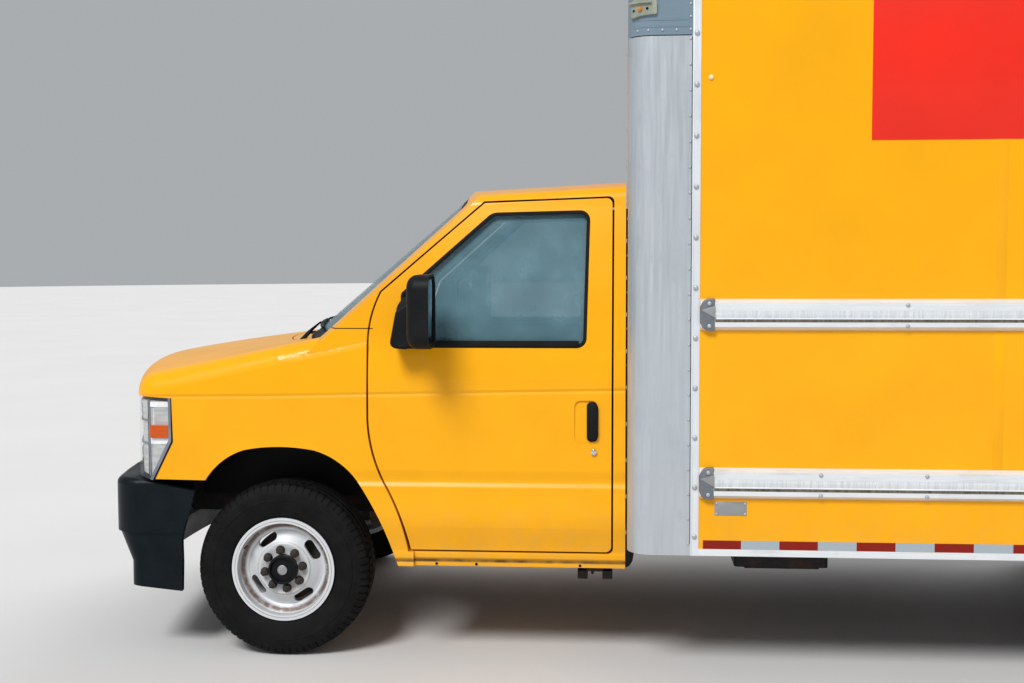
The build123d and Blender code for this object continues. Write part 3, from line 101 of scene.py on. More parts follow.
# %% [markdown]
# Every new piece starts as a primitive or an outline and is shaped in edit mode. A few helpers select the
# piece, enter and leave edit mode, and apply what was done, so that the steps below stay short.

# %% Helpers for shaping


def only(piece):
    """Leave edit mode, and make one object the selected and active one."""
    if bpy.context.object and bpy.context.object.mode != "OBJECT":
        bpy.ops.object.mode_set(mode="OBJECT")
    bpy.ops.object.select_all(action="DESELECT")
    piece.select_set(True)
    bpy.context.view_layer.objects.active = piece
    return piece


@contextlib.contextmanager
def editing(piece, everything=True):
    """Edit mode on one piece, with everything selected or with the selection it has."""
    only(piece)
    bpy.ops.object.mode_set(mode="EDIT")
    if everything:
        bpy.ops.mesh.select_all(action="SELECT")
    yield
    bpy.ops.object.mode_set(mode="OBJECT")


def apply_place(piece):
    """Move an object's place, turn and scale into its mesh."""
    only(piece)
    bpy.ops.object.transform_apply(location=True, rotation=True, scale=True)
    return piece


def moved(piece, *matrices):
    """Move a piece's mesh by the product of some matrices."""
    for matrix in reversed(matrices):
        piece.data.transform(matrix)
    return piece


def outward(piece):
    """Merge doubles and turn all faces outwards."""
    with editing(piece):
        bpy.ops.mesh.remove_doubles(threshold=0.00002)
        bpy.ops.mesh.normals_make_consistent(inside=False)
    return piece


def bevel(piece, width, segments=2, angle=30):
    """Round every edge that folds by more than the angle, with an applied modifier."""
    only(piece)
    modifier = piece.modifiers.new("Bevel", "BEVEL")
    modifier.width = width
    modifier.segments = segments
    modifier.limit_method = "ANGLE"
    modifier.angle_limit = math.radians(angle)
    modifier.harden_normals = False
    bpy.ops.object.modifier_apply(modifier=modifier.name)
    return piece


def join(pieces):
    """Join several objects into the first one."""
    only(pieces[0])
    for piece in pieces:
        piece.select_set(True)
    bpy.ops.object.join()
    return pieces[0]


def copy_of(piece, matrix=None):
    """A copy with its own mesh, moved by a matrix."""
    twin = piece.copy()
    twin.data = piece.data.copy()
    scene.collection.objects.link(twin)
    if matrix is not None:
        twin.data.transform(matrix)
    return twin


def mesh_of(points, edges=(), faces=()):
    """A new object from points in metres with edges or faces, as a start for edit mode."""
    mesh = bpy.data.meshes.new("start")
    mesh.from_pydata([tuple(point) for point in points], edges, faces)
    piece = bpy.data.objects.new("start", mesh)
    scene.collection.objects.link(piece)
    return only(piece)


def slab(points, move):
    """A plate: an outline of points in metres, extruded by a move."""
    piece = mesh_of(points, faces=[list(range(len(points)))])
    with editing(piece):
        bpy.ops.mesh.extrude_region_move(TRANSFORM_OT_translate={"value": tuple(move)})
    return outward(piece)


def frame_of(points, width, move):
    """A ring inside an outline of points in metres, extruded by a move."""
    ring = mesh_of(points, faces=[list(range(len(points)))])
    with editing(ring):
        bpy.ops.mesh.inset(thickness=width, depth=0)
        bpy.ops.mesh.delete(type="FACE")
        bpy.ops.mesh.select_all(action="SELECT")
        bpy.ops.mesh.extrude_region_move(TRANSFORM_OT_translate={"value": tuple(move)})
    return outward(ring)


def block(low, high, rounding=0.0):
    """A block between two corners, in millimetres from the axle or as points, with broken edges."""
    low, high = (corner if isinstance(corner, Vector) else at(*corner) for corner in (low, high))
    bpy.ops.mesh.primitive_cube_add(size=1, location=(low + high) / 2)
    piece = bpy.context.object
    piece.scale = [abs(part) for part in high - low]
    apply_place(piece)
    return bevel(piece, rounding, 2, 40) if rounding else piece


def bar(start, end, width, height, rounding=0.0, taper=1.0, segments=2, cuts=0):
    """A bar from one place to another, whose far end is narrower by the taper, with broken edges."""
    start, end = (place if isinstance(place, Vector) else at(*place) for place in (start, end))
    bpy.ops.mesh.primitive_cube_add(size=1, location=(0, 0, 0))
    piece = bpy.context.object
    piece.scale = ((end - start).length, width, height)
    apply_place(piece)
    for vertex in piece.data.vertices:
        if vertex.co.x > 0:
            vertex.co.y *= taper
            vertex.co.z *= taper
    if cuts:
        with editing(piece):
            bpy.ops.mesh.subdivide(number_cuts=cuts)
    turn = (end - start).to_track_quat("X", "Z").to_matrix().to_4x4()
    moved(piece, Matrix.Translation((start + end) / 2), turn)
    return bevel(piece, rounding, segments, 30) if rounding else piece


def cylinder(radius, depth, centre, rotation, rounding, segments=2, vertices=24, angle=40):
    """A round bar with rounded ends, whose axis is Z turned by a rotation."""
    bpy.ops.mesh.primitive_cylinder_add(vertices=vertices, radius=radius, depth=depth, location=centre,
                                        rotation=rotation)
    return bevel(apply_place(bpy.context.object), rounding, segments, angle)


ACROSS = (math.pi / 2, 0, 0)


def disc(radius, thickness, place, side, rounding, vertices=48):
    """A round plate with a rounded edge, whose back stands at a place and which faces the side."""
    centre = Vector(place) + Vector((0, side * thickness / 2, 0))
    return cylinder(radius, thickness, centre, ACROSS, rounding, 3, vertices)


# %% [markdown]
# Every new piece ends the same way. Its place is applied to its mesh, so the object stands at the origin
# unturned and a pattern on object coordinates keeps its true scale. Then it gets its name, its material,
# smooth shading up to a fold angle and the body it rides on.

# %% Hang a finished piece on its body
material_of = {}


def hang(pieces, name, finish, body="body", smooth=35):
    """Join, name, place, shade and hang finished pieces."""
    piece = join(pieces) if isinstance(pieces, list) else pieces
    apply_place(piece)
    piece.name = piece.data.name = name
    piece.data.materials.clear()
    piece.data.materials.append(material_of[finish])
    only(piece)
    bpy.ops.object.shade_smooth_by_angle(angle=math.radians(smooth))
    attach(piece, body)
    return piece


# %% [markdown]
# A finish is more than one colour. Each material below mixes two tones with noise at the scale the real
# surface shows, and drives a little roughness and bump from the same pattern. They all read object
# coordinates, which are metres here, so a grain of two millimetres stays two millimetres on every piece.

# %% Helpers for materials
SOCKETS = {"colour": "Base Color", "rough": "Roughness", "metallic": "Metallic", "alpha": "Alpha",
           "specular": "Specular IOR Level", "coat": "Coat Weight", "coat_rough": "Coat Roughness",
           "ior": "IOR", "sheen": "Sheen Weight"}


class Finish:
    """A material that is built up pattern by pattern on object coordinates."""

    def __init__(self, name):
        """Start with the plain shader and the place on the object, and list the material by name."""
        material = material_of[name] = bpy.data.materials.new(name)
        material.use_nodes = True
        self.tree = material.node_tree
        self.shader = self.tree.nodes["Principled BSDF"]
        self.place = self.node("TexCoord").outputs["Object"]

    def feed(self, socket, value):
        """Set a socket to a number or a colour, or link another node's output to it."""
        if isinstance(value, bpy.types.NodeSocket):
            self.tree.links.new(value, socket)
        else:
            socket.default_value = (*value, 1) if socket.type == "RGBA" else value

    def node(self, kind, inputs=(), **settings):
        """Add a node with its settings and inputs."""
        node = self.tree.nodes.new("ShaderNode" + kind)
        for key, value in settings.items():
            setattr(node, key, value)
        for key, value in dict(inputs).items():
            self.feed(node.inputs[key], value)
        return node

    def shade(self, **values):
        """Feed the shader's own sockets."""
        for key, value in values.items():
            self.feed(self.shader.inputs[SOCKETS[key]], value)

    def noise(self, scale, detail=3.0, roughness=0.5, stretch=None):
        """Noise at a scale, stretched along the axes where asked."""
        place = self.place
        if stretch:
            place = self.node("Mapping", {"Vector": place, "Scale": stretch}).outputs["Vector"]
        return self.node("TexNoise", {"Vector": place, "Scale": scale, "Detail": detail,
                                      "Roughness": roughness}).outputs["Fac"]

    def waves(self, axis, scale, distortion=0.0):
        """Even waves along an axis."""
        return self.node("TexWave", {"Vector": self.place, "Scale": scale, "Distortion": distortion},
                         bands_direction=axis).outputs["Fac"]

    def ramp(self, factor, low, high, start=0.0, end=1.0, kind="LINEAR"):
        """A factor between low and high, stretched to a range."""
        return self.node("MapRange", {"Value": factor, "From Min": low, "From Max": high, "To Min": start,
                                      "To Max": end}, interpolation_type=kind).outputs["Result"]

    def mix(self, factor, first, second):
        """A mix of two colours, each a triple or another node's output."""
        return self.node("Mix", {"Factor": factor, "A": first, "B": second},
                         data_type="RGBA").outputs["Result"]

    def sum(self, operation, first, second=0.0):
        """One sum on two values, each a number or an output."""
        return self.node("Math", {0: first, 1: second}, operation=operation).outputs["Value"]

    def product(self, first, *others):
        """The product of several factors."""
        for other in others:
            first = self.sum("MULTIPLY", first, other)
        return first

    def away(self, value, centre):
        """How far a value is from a centre."""
        return self.sum("ABSOLUTE", self.sum("SUBTRACT", value, centre))

    def axes(self):
        """The X, Y and Z parts of the place."""
        return self.node("SeparateXYZ", {"Vector": self.place}).outputs

    def bump(self, height, strength, distance):
        """Bump from a height pattern."""
        node = self.node("Bump", {"Strength": strength, "Distance": distance, "Height": height})
        self.tree.links.new(node.outputs["Normal"], self.shader.inputs["Normal"])


def scaled(colour, share, added=0.0):
    """A colour made lighter or darker."""
    return tuple(channel * share + added for channel in colour)


def paint(name, colour, dust=(0.42, 0.33, 0.2), gloss=0.3, coat=0.16, dust_top=0.75, dust_share=0.3):
    """Gloss paint with a faint mottle, and road dust that thickens towards the ground."""
    f = Finish(name)
    mottle = f.noise(3.0, 4.0)
    base = f.mix(f.ramp(mottle, 0.3, 0.7), colour, scaled(colour, 0.9))
    low = f.ramp(f.axes()["Z"], dust_top, 0.3)
    dirt = f.product(low, f.ramp(f.noise(14.0, 6.0, 0.65), 0.35, 0.75, 0.0, dust_share))
    rough = f.sum("ADD", f.ramp(mottle, 0.3, 0.7, gloss - 0.02, gloss + 0.03), f.product(dirt, 0.6))
    f.shade(colour=f.mix(dirt, base, dust), rough=rough, specular=0.22, coat=coat, coat_rough=0.06)
    f.bump(f.noise(160.0, 1.0), 0.02, 0.001)
    return f


def plastic(name, colour, grain=900.0, rough=0.5, strength=0.25):
    """Moulded plastic with a fine grain and slightly worn patches."""
    f = Finish(name)
    wear = f.noise(9.0, 5.0, 0.6)
    f.shade(colour=f.mix(f.ramp(wear, 0.42, 0.72), colour, scaled(colour, 1.5, 0.002)),
            rough=f.ramp(wear, 0.3, 0.7, rough - 0.07, rough + 0.1), specular=0.15)
    f.bump(f.noise(grain, 2.0), strength, 0.0006)


def bare_metal(name, colour, rough=0.38, streak=None, scale=30.0, stain=(0.3, 0.29, 0.28), share=0.5,
               metallic=0.9, spread=0.1):
    """Bare metal with streaks along one direction and dull stains."""
    f = Finish(name)
    grain = f.noise(scale, 6.0, 0.6, streak)
    base = f.mix(f.ramp(grain, 0.32, 0.68), colour, scaled(colour, 1.15))
    spots = f.ramp(f.product(grain, f.noise(5.0, 4.0, 0.6)), 0.26, 0.42, 0.0, share)
    f.shade(colour=f.mix(spots, base, stain), rough=f.ramp(grain, 0.3, 0.7, rough - spread, rough + spread),
            metallic=metallic)
    f.bump(grain, 0.06, 0.001)


def rusty(name, colour, rust=(0.16, 0.06, 0.025), share=0.6, scale=9.0, rough=0.7, metallic=0.2):
    """Chassis paint or iron with rust and road dirt in patches."""
    f = Finish(name)
    patches = f.noise(scale, 8.0, 0.7)
    fine = f.noise(90.0, 3.0)
    f.shade(colour=f.mix(f.ramp(patches, 0.5, 0.7, 0.0, share), colour, rust),
            rough=f.ramp(fine, 0.3, 0.7, rough - 0.12, rough + 0.12), metallic=metallic, specular=0.25)
    f.bump(f.sum("ADD", patches, fine), 0.25, 0.0015)


def clear_glass(name, tint, alpha, rough=0.02, coat=0.6, coat_rough=0.02, specular=0.5):
    """Glass as a thin tinted film that lets most light through and reflects the rest."""
    f = Finish(name)
    film = f.noise(6.0, 3.0)
    f.shade(colour=f.mix(f.ramp(film, 0.4, 0.7), tint, scaled(tint, 1.25, 0.02)),
            rough=f.ramp(film, 0.3, 0.7, rough, rough + 0.04),
            alpha=f.ramp(film, 0.3, 0.75, alpha, alpha + 0.06),
            coat=coat, coat_rough=coat_rough, specular=specular, ior=1.5)


def lens(name, colour):
    """A coloured lamp lens with the small ribs that spread its light."""
    f = Finish(name)
    ribs = f.waves("Z", 55.0)
    f.shade(colour=f.mix(ribs, colour, scaled(colour, 0.6)), rough=0.2, specular=0.3, coat=0.25,
            coat_rough=0.03)
    f.bump(ribs, 0.3, 0.001)


# %% [markdown]
# The paints come first, because they are what one sees from across the street: a warm yellow on the cab
# and the box sides, bare aluminium on the box corners and rails, dark blue-grey plastic at the front end,
# white wheels with old rust in the folds, and black rubber. The sheet on the box corners was wiped up and
# down for years, so its grain is stretched along Z, and the rails' grain is stretched along X.

# %% Make the finishes
YELLOW = (0.97, 0.43, 0.0)
paint("yellow_paint", YELLOW)
paint("white_paint", (0.71, 0.73, 0.73), gloss=0.34, coat=0.3)
paint("cap_grey", (0.19, 0.265, 0.325), gloss=0.42)
rusty("black_paint", (0.018, 0.018, 0.019), share=0.35, rough=0.6)
rusty("bare_steel", (0.16, 0.13, 0.11), share=0.7, metallic=0.6, rough=0.6)
rusty("cast_iron", (0.05, 0.045, 0.04), share=0.75, rough=0.78)
rusty("nut_steel", (0.045, 0.040, 0.036), (0.11, 0.06, 0.04), share=0.5, scale=60.0, metallic=0.5, rough=0.55)
bare_metal("galvanised", (0.36, 0.37, 0.38), rough=0.45, scale=18.0, metallic=0.85)
bare_metal("sheet_aluminium", (0.47, 0.515, 0.55), 0.40, (7.0, 7.0, 0.30), 9.0, (0.36, 0.41, 0.46), 0.7, 0.45)
bare_metal("post_aluminium", (0.72, 0.76, 0.80), 0.38, (12.0, 12.0, 0.2), 9.0, (0.45, 0.48, 0.52), 0.4, 0.35)
bare_metal("rail_aluminium", (0.74, 0.78, 0.81), 0.38, (0.5, 6.0, 22.0), 8.0, (0.40, 0.40, 0.39), 0.5, 0.3)
bare_metal("roof_aluminium", (0.55, 0.56, 0.57), rough=0.42, scale=4.0, metallic=0.6)
bare_metal("chrome", (0.62, 0.64, 0.66), rough=0.14, scale=40.0, share=0.1, metallic=1.0, spread=0.04)
bare_metal("rivet", (0.42, 0.45, 0.48), rough=0.5, scale=120.0, share=0.3, metallic=0.5)
bare_metal("cast_grey", (0.16, 0.18, 0.20), rough=0.5, scale=60.0, metallic=0.5)
plastic("black_plastic", (0.005, 0.0056, 0.0066))
plastic("grey_plastic", (0.0012, 0.0045, 0.0068), grain=500.0, rough=0.36, strength=0.12)
plastic("interior_plastic", (0.055, 0.056, 0.06), rough=0.6)
plastic("rubber", (0.007, 0.007, 0.007), grain=300.0, rough=0.72, strength=0.15)
plastic("headliner", (0.42, 0.41, 0.39), grain=700.0, rough=0.85, strength=0.3)
plastic("bezel_grey", (0.17, 0.19, 0.225), rough=0.35)
plastic("lamp_white", (0.86, 0.88, 0.90), rough=0.25, strength=0.05)
plastic("lamp_cream", (0.28, 0.30, 0.25), grain=400.0, rough=0.55)
plastic("plug_cream", (0.80, 0.66, 0.36), rough=0.5)
plastic("bottle", (0.52, 0.50, 0.42), rough=0.4)
# The glass's tint is its own blue-green made paler: the paleness is a painted reflection of a bright sky.
clear_glass("glass", (0.12, 0.24, 0.29), 0.50, 0.17, 0.12, 0.17, 0.2)
clear_glass("clear_lens", (0.45, 0.48, 0.5), 0.07, 0.03, 0.25)
lens("amber_lens", (0.72, 0.10, 0.002))
lens("lamp_amber", (0.80, 0.27, 0.015))
lens("red_lens", (0.5, 0.012, 0.01))
WHEEL_WEAR = ((0.184, 0.016, 0.95), (0.2085, 0.0025, 0.6), (0.083, 0.026, 0.42), (0.113, 0.004, 0.3))
for name, centre_x in (("wheel_paint_front", axle_x), ("wheel_paint_rear", rear_axle_x)):
    f = Finish(name)
    speck = f.noise(24.0, 8.0, 0.7)
    squares = [f.sum("POWER", f.away(f.axes()[axis], centre), 2.0)
               for axis, centre in (("X", centre_x), ("Z", axle_z))]
    radius = f.sum("SQRT", f.sum("ADD", *squares))
    worn = 0.0
    for ring, half, share in WHEEL_WEAR:
        worn = f.sum("MAXIMUM", worn, f.ramp(f.away(radius, ring), half, half * 0.3, 0.0, share))
    rust = f.sum("MAXIMUM", f.product(worn, f.ramp(speck, 0.30, 0.52, 0.4, 1.0)),
                 f.ramp(speck, 0.70, 0.78, 0.0, 0.6))
    f.shade(colour=f.mix(rust, (0.66, 0.68, 0.70), (0.105, 0.062, 0.045)),
            rough=f.ramp(speck, 0.3, 0.7, 0.35, 0.6), metallic=0.2)
    f.bump(speck, 0.08, 0.001)
f = Finish("seat_fabric")
weave = f.product(f.waves("X", 160.0, 0.8), f.waves("Z", 160.0, 0.8))
f.shade(colour=f.mix(weave, (0.055, 0.056, 0.062), (0.105, 0.106, 0.112)), rough=0.9, sheen=0.3)
f.bump(weave, 0.35, 0.0008)
f = Finish("tyre")
dust = f.noise(16.0, 7.0, 0.65)
f.shade(colour=f.mix(f.ramp(dust, 0.42, 0.75), (0.0035, 0.0036, 0.004), (0.012, 0.0115, 0.010)),
        rough=f.ramp(dust, 0.3, 0.7, 0.62, 0.82), specular=0.14)
f.bump(f.noise(260.0, 3.0), 0.25, 0.0008)

# %% [markdown]
# Each node of the frame takes the finish of its slot. A few nodes share a slot but not a finish, such as
# the sheet on the corners and the rails, which are both bare aluminium but were rubbed in other directions.

# %% Give every node its finish
SLOT_FINISH = {"aluminium": "rail_aluminium", "wheel_paint": "wheel_paint_front"}
NODE_FINISH = {"front_corners": "sheet_aluminium", "box_roof": "roof_aluminium", "front_cap": "cap_grey",
               "rear_rims_left": "wheel_paint_rear", "rear_rims_right": "wheel_paint_rear"}


def coat_node(node_name, finish):
    """Give a node of the frame one material."""
    materials = nodes[node_name].data.materials
    materials.clear()
    materials.append(material_of[finish])


def coat_faces(node_name, finish, wanted):
    """Give the faces of a node that pass a test a second material."""
    mesh = nodes[node_name].data
    mesh.materials.append(material_of[finish])
    for polygon in mesh.polygons:
        if wanted(polygon):
            polygon.material_index = 1


for part in frame["record"]["subparts"]:
    slot = part["material_slot"]
    coat_node(part["node"], NODE_FINISH.get(part["node"]) or SLOT_FINISH.get(slot, slot))
coat_faces("front_corners", "post_aluminium", lambda face: face.center.x > at(1705, 0, 0).x)
print("finishes made:", len(material_of))

# %% [markdown]
# A truck tyre is a ring with a flat tread and soft cheeks. Its section is drawn once on one side of the
# wheel's axis and spun right round. The four grooves belong to the section itself, and the short cuts across
# the shoulders are pressed in afterwards, one in every four steps, as the mould of a real tyre does. A raised
# band and a ring of fine ribs stay on each cheek, where the moulded writing of a real one would be.

# %% Draw and spin the tyre
TYRE_STEPS = 288
HALF_SECTION = [(0, 372), (18, 371.8), (18.5, 363), (26, 362.8), (26.5, 371.2), (57, 369.5), (57.5, 360.5),
                (66, 360), (66.5, 368.4), (90, 363), (101, 352), (107, 338), (109.5, 328), (111, 316),
                (111, 304), (113, 302), (113, 298), (111, 296), (109.5, 280), (104, 256), (98, 240),
                (96, 232), (91, 226), (85, 223), (83, 204)]
INNER_SECTION = [(69, 204), (78, 260), (84, 300), (70, 345), (0, 354)]


def section_loop():
    """The whole closed section of the tyre, as points (across, radius) in metres."""
    outside = [(-y, r) for y, r in reversed(HALF_SECTION[1:])] + HALF_SECTION
    inside = INNER_SECTION + [(-y, r) for y, r in reversed(INNER_SECTION[:-1])]
    return [(y * MM, r * MM) for y, r in outside + inside]


def spin_section(loop, steps):
    """Spin a closed section right round the Y axis."""
    count = len(loop)
    piece = mesh_of([(0, y, r) for y, r in loop], edges=[(i, (i + 1) % count) for i in range(count)])
    with editing(piece):
        bpy.ops.mesh.spin(steps=steps, angle=2 * math.pi, center=(0, 0, 0), axis=(0, 1, 0))
    return outward(piece)


def pick_faces(piece, wanted):
    """Select only the faces that pass a test."""
    with editing(piece, False):
        bpy.ops.mesh.select_mode(type="FACE")
        bpy.ops.mesh.select_all(action="DESELECT")
    for polygon in piece.data.polygons:
        polygon.select = wanted(polygon)


tyre = spin_section(section_loop(), TYRE_STEPS)
# Each row of cuts: every how many steps and from which one, from and to across, from and to radius, depth
for every, first, y0, y1, r0, r1, depth in ((4, 0, 0.0665, 0.108, 0.342, 1, 0.004),
                                            (4, 2, 0.0265, 0.057, 0.369, 1, 0.004),
                                            (2, 0, 0.1085, 0.112, 0.316, 0.329, 0.0008)):

    def in_row(polygon):
        """Whether a face of the tyre lies in this row of cuts."""
        x, y, z = polygon.center
        step = int(math.degrees(math.atan2(x, z)) % 360 / (360 / TYRE_STEPS))
        return step % every == first and y0 < abs(y) < y1 and r0 < math.hypot(x, z) < r1

    pick_faces(tyre, in_row)
    with editing(tyre, False):
        bpy.ops.mesh.extrude_region_shrink_fatten(TRANSFORM_OT_shrink_fatten={"value": -depth})
print("tyre faces:", len(tyre.data.polygons))
for kind, x, across in (("front_tyre_", axle_x, (0.881,)), ("rear_tyres_", rear_axle_x, (0.772, 1.028))):
    for side_name, side in SIDES:
        node_name = kind + side_name
        copies = [copy_of(tyre, Matrix.Translation((x, side * y, axle_z))) for y in across]
        piece = hang(copies, node_name + "_tread", "tyre", body_of(nodes[node_name])[0], smooth=30)
        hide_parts(node_name)
bpy.data.objects.remove(tyre)

# %% [markdown]
# Eight nuts hold each wheel. They sit on one ring round the hub, and they rust long before the wheel does.
# One nut is made from a six-sided prism with its top edge broken and a round collar under it, and copied
# round the axis. On the front wheels the hub ends in a ring with a small dust cap, and on the rear ones the
# axle shaft's flange is held by small bolts.

# %% Nuts, hub caps and valves
NUT_TURN = 35.7
NUT_RING = 0.0825
HUB_END = 0.9838
HUB_RING = [(0, 0.0605), (0.011, 0.0605), (0.0125, 0.059), (0.0125, 0.053), (0.011, 0.0515), (0.0004, 0.0505)]
VALVE_RADIUS = 0.186


def make_nut(across, height):
    """A collared wheel nut that stands up along -Y from the origin."""
    return join([cylinder(across / 2, height, (0, -height / 2, 0), ACROSS, across * 0.07, 2, 6),
                 cylinder(across * 0.56, height * 0.22, (0, -height * 0.11, 0), ACROSS, height * 0.05, 1, 20),
                 cylinder(across * 0.22, height * 0.3, (0, -height * 1.08, 0), ACROSS, across * 0.03, 1, 12)])


def ring_of(pattern, radius, x, y, side, turn):
    """Eight copies of a pattern round a wheel's axis, facing the side -1 or +1."""
    outwards = Matrix.Rotation(math.pi if side > 0 else 0, 4, "Z")
    return [copy_of(pattern, Matrix.Translation((x, y, axle_z))
                    @ Matrix.Rotation(math.radians(turn + 45 * number), 4, "Y")
                    @ Matrix.Translation((0, 0, radius)) @ outwards) for number in range(8)]


wheel_nut = make_nut(0.034, 0.026)
small_bolt = make_nut(0.015, 0.009)
for side_name, side in SIDES:
    front_body, rear_body = "front_wheel_" + side_name, "rear_wheels_" + side_name
    for body, name, pattern, radius, x, y, turn in (
            (front_body, "front_wheel_nuts_", wheel_nut, NUT_RING, axle_x, 0.959, NUT_TURN),
            (rear_body, "rear_wheel_nuts_", wheel_nut, NUT_RING, rear_axle_x, 0.9092, NUT_TURN),
            (rear_body, "axle_flange_bolts_", small_bolt, 0.044, rear_axle_x, 0.984, 0)):
        hang(ring_of(pattern, radius, x, side * y, side, turn), name + side_name, "nut_steel", body)
    ring = spin_section(HUB_RING, 64)
    moved(ring, Matrix.Translation((axle_x, side * HUB_END, axle_z)) @ Matrix.Diagonal((1, side, 1, 1)))
    outward(ring)
    floor = disc(0.052, 0.001, (axle_x, side * HUB_END, axle_z), side, 0.0003)
    hang([ring, floor], "front_hub_ring_" + side_name, "black_plastic", front_body)
    dust_cap = disc(0.0215, 0.007, (axle_x, side * 0.9845, axle_z), side, 0.003, 32)
    hang(dust_cap, "front_dust_cap_" + side_name, "galvanised", front_body)
    for body, x, y, turn in ((front_body, axle_x, 0.972, 150), (rear_body, rear_axle_x, 0.985, 60)):
        place = (x + VALVE_RADIUS * math.cos(math.radians(turn)), side * y,
                 axle_z + VALVE_RADIUS * math.sin(math.radians(turn)))
        hang(cylinder(0.0045, 0.042, place, ACROSS, 0.0012, 1, 12), body + "_valve", "nut_steel", body)
for pattern in (wheel_nut, small_bolt):
    bpy.data.objects.remove(pattern)

# %% [markdown]
# The trim on the cab's side follows its curved skin. From the front, the skin is a slow arc up to the belt
# and leans in above it, so one function gives how far out the skin stands at a height. Three points fix each
# arc. The lower two stand below and above the fold over the sill, the upper two below and above the belt.

# %% The cab's side as a curve
CAB_ARCS = [((985, 402), (1002, 600), (1008, 760)), ((1003, 772), (1008, 950), (1002, 1130)),
            ((1002, 1130), (997, 1225), (984, 1312)), ((984, 1312), (940, 1620), (870, 1905))]


def cab_side(z):
    """How far out the cab's skin stands at a height, both in metres, by the arc through three points."""
    z = z / MM
    (y1, z1), (y2, z2), (y3, z3) = next((arc for arc in CAB_ARCS if z <= arc[2][1]), CAB_ARCS[-1])
    share = (z - z1) / (z3 - z1)
    middle = (z2 - z1) / (z3 - z1)
    bow = (y2 - y1 - (y3 - y1) * middle) / (middle * (1 - middle))
    return (y1 + (y3 - y1) * share + bow * share * (1 - share)) * MM


def hug_side(piece, side, gap=0.0):
    """Move every point across by the skin's own shape, so that a flat piece follows the cab's side."""
    for vertex in piece.data.vertices:
        vertex.co.y = side * (cab_side(vertex.co.z) + gap) + vertex.co.y
    piece.data.update()
    return piece


def slice_up(piece, z_from, z_to, step):
    """Cut a piece with level planes every step of height, in millimetres, so that it can bend."""
    with editing(piece):
        z = z_from
        while z < z_to:
            bpy.ops.mesh.select_all(action="SELECT")
            bpy.ops.mesh.bisect(plane_co=(0, 0, z * MM), plane_no=(0, 0, 1))
            z += step


def rounded_outline(corners, radii, steps=6):
    """A closed outline of flat points with each corner rounded to its radius, or to one for all."""
    if not radii:
        return corners
    if isinstance(radii, int):
        radii = [radii] * len(corners)
    points = []
    count = len(corners)
    for number, (corner, radius) in enumerate(zip(corners, radii)):
        here = Vector(corner)
        before = (Vector(corners[number - 1]) - here).normalized()
        after = (Vector(corners[(number + 1) % count]) - here).normalized()
        half = before.angle(after) / 2
        reach = radius / math.tan(half)
        centre = here + (before + after).normalized() * (radius / math.sin(half))
        start = here + before * reach - centre
        sweep = start.angle_signed(here + after * reach - centre)
        for step in range(steps + 1):
            turned = start.copy()
            turned.rotate(Matrix.Rotation(-sweep * step / steps, 2))
            points.append(centre + turned)
    return points


def side_slab(corners, radii, depth, rounding=0.0, segments=2, angle=40, y=0, steps=6):
    """A plate seen from the side: corners (x, z) in millimetres, and a depth across in metres."""
    piece = slab([at(x, y, z) for x, z in rounded_outline(corners, radii, steps)], (0, depth, 0))
    return bevel(piece, rounding, segments, angle) if rounding else piece


def skin_slab(side, corners, radii, depth, gap, rounding=0.0, segments=2, angle=40, slices=()):
    """A plate that follows the cab's skin, some depth inwards and a gap off it, cut by level planes."""
    piece = side_slab(corners, radii, side * depth)
    if slices:
        slice_up(piece, *slices)
    hug_side(piece, side, gap)
    return bevel(piece, rounding, segments, angle) if rounding else piece


def rectangle(x0, x1, z0, z1):
    """The corners of an upright rectangle, seen from the side."""
    return [(x0, z0), (x1, z0), (x1, z1), (x0, z1)]


# %% [markdown]
# Black rubber lines the side window. It is a frame about two centimetres wide that fills the opening from
# the painted skin back to the glass, with a flat lip on the outside and a deeper wiper strip along the belt.

# %% Window rubbers
window_points = rounded_outline([(512, 1319), (1288, 1319), (1302, 1890), (890, 1881), (512, 1545)],
                                [25, 42, 42, 60, 25])
window_heights = [z for x, z in window_points]
for side_name, side in SIDES:
    rubber = frame_of([at(x, 0, z) for x, z in window_points], 0.015, (0, -side * 0.026, 0))
    slice_up(rubber, min(window_heights) + 30, max(window_heights), 45)
    bevel(hug_side(rubber, side, -0.002), 0.0025, 2, 40)
    belt = skin_slab(side, rectangle(540, 1256, 1325, 1349), None, -0.016, 0.0015, 0.003)
    hang([rubber, belt], "window_rubber_" + side_name, "rubber", "door_" + side_name)

# %% [markdown]
# The door handle is an upright paddle that pivots at its front edge. It fills the rear half of the dished
# recess in the skin, so fingers reach it from the front. The lock is a small turned barrel below it.

# %% Door handles and locks
for side_name, side in SIDES:
    paddle = skin_slab(side, rectangle(1303, 1337, 944, 1090), 15, -0.020, 0.011, 0.005, 3)
    plate = skin_slab(side, rectangle(1290, 1334, 934, 1098), 18, -0.008, -0.0035, 0.002)
    hang([paddle, plate], "door_handle_" + side_name, "black_plastic", "door_" + side_name)
    lock = at(1319, 0, 892)
    skin = cab_side(lock.z)
    barrel = disc(0.0125, 0.004, (lock.x, side * (skin - 0.0005), lock.z), side, 0.0015, 32)
    keyhole = disc(0.006, 0.002, (lock.x, side * (skin + 0.0032), lock.z), side, 0.0006, 20)
    hang([barrel, keyhole], "door_lock_" + side_name, "chrome", "door_" + side_name)

# %% [markdown]
# The mirror's glass lies in the shallow recess of the housing and faces rearwards, and a thin black lip
# holds it. A smooth moulded sleeve covers the mirror's arm from the housing to the door, where it widens
# into a foot.

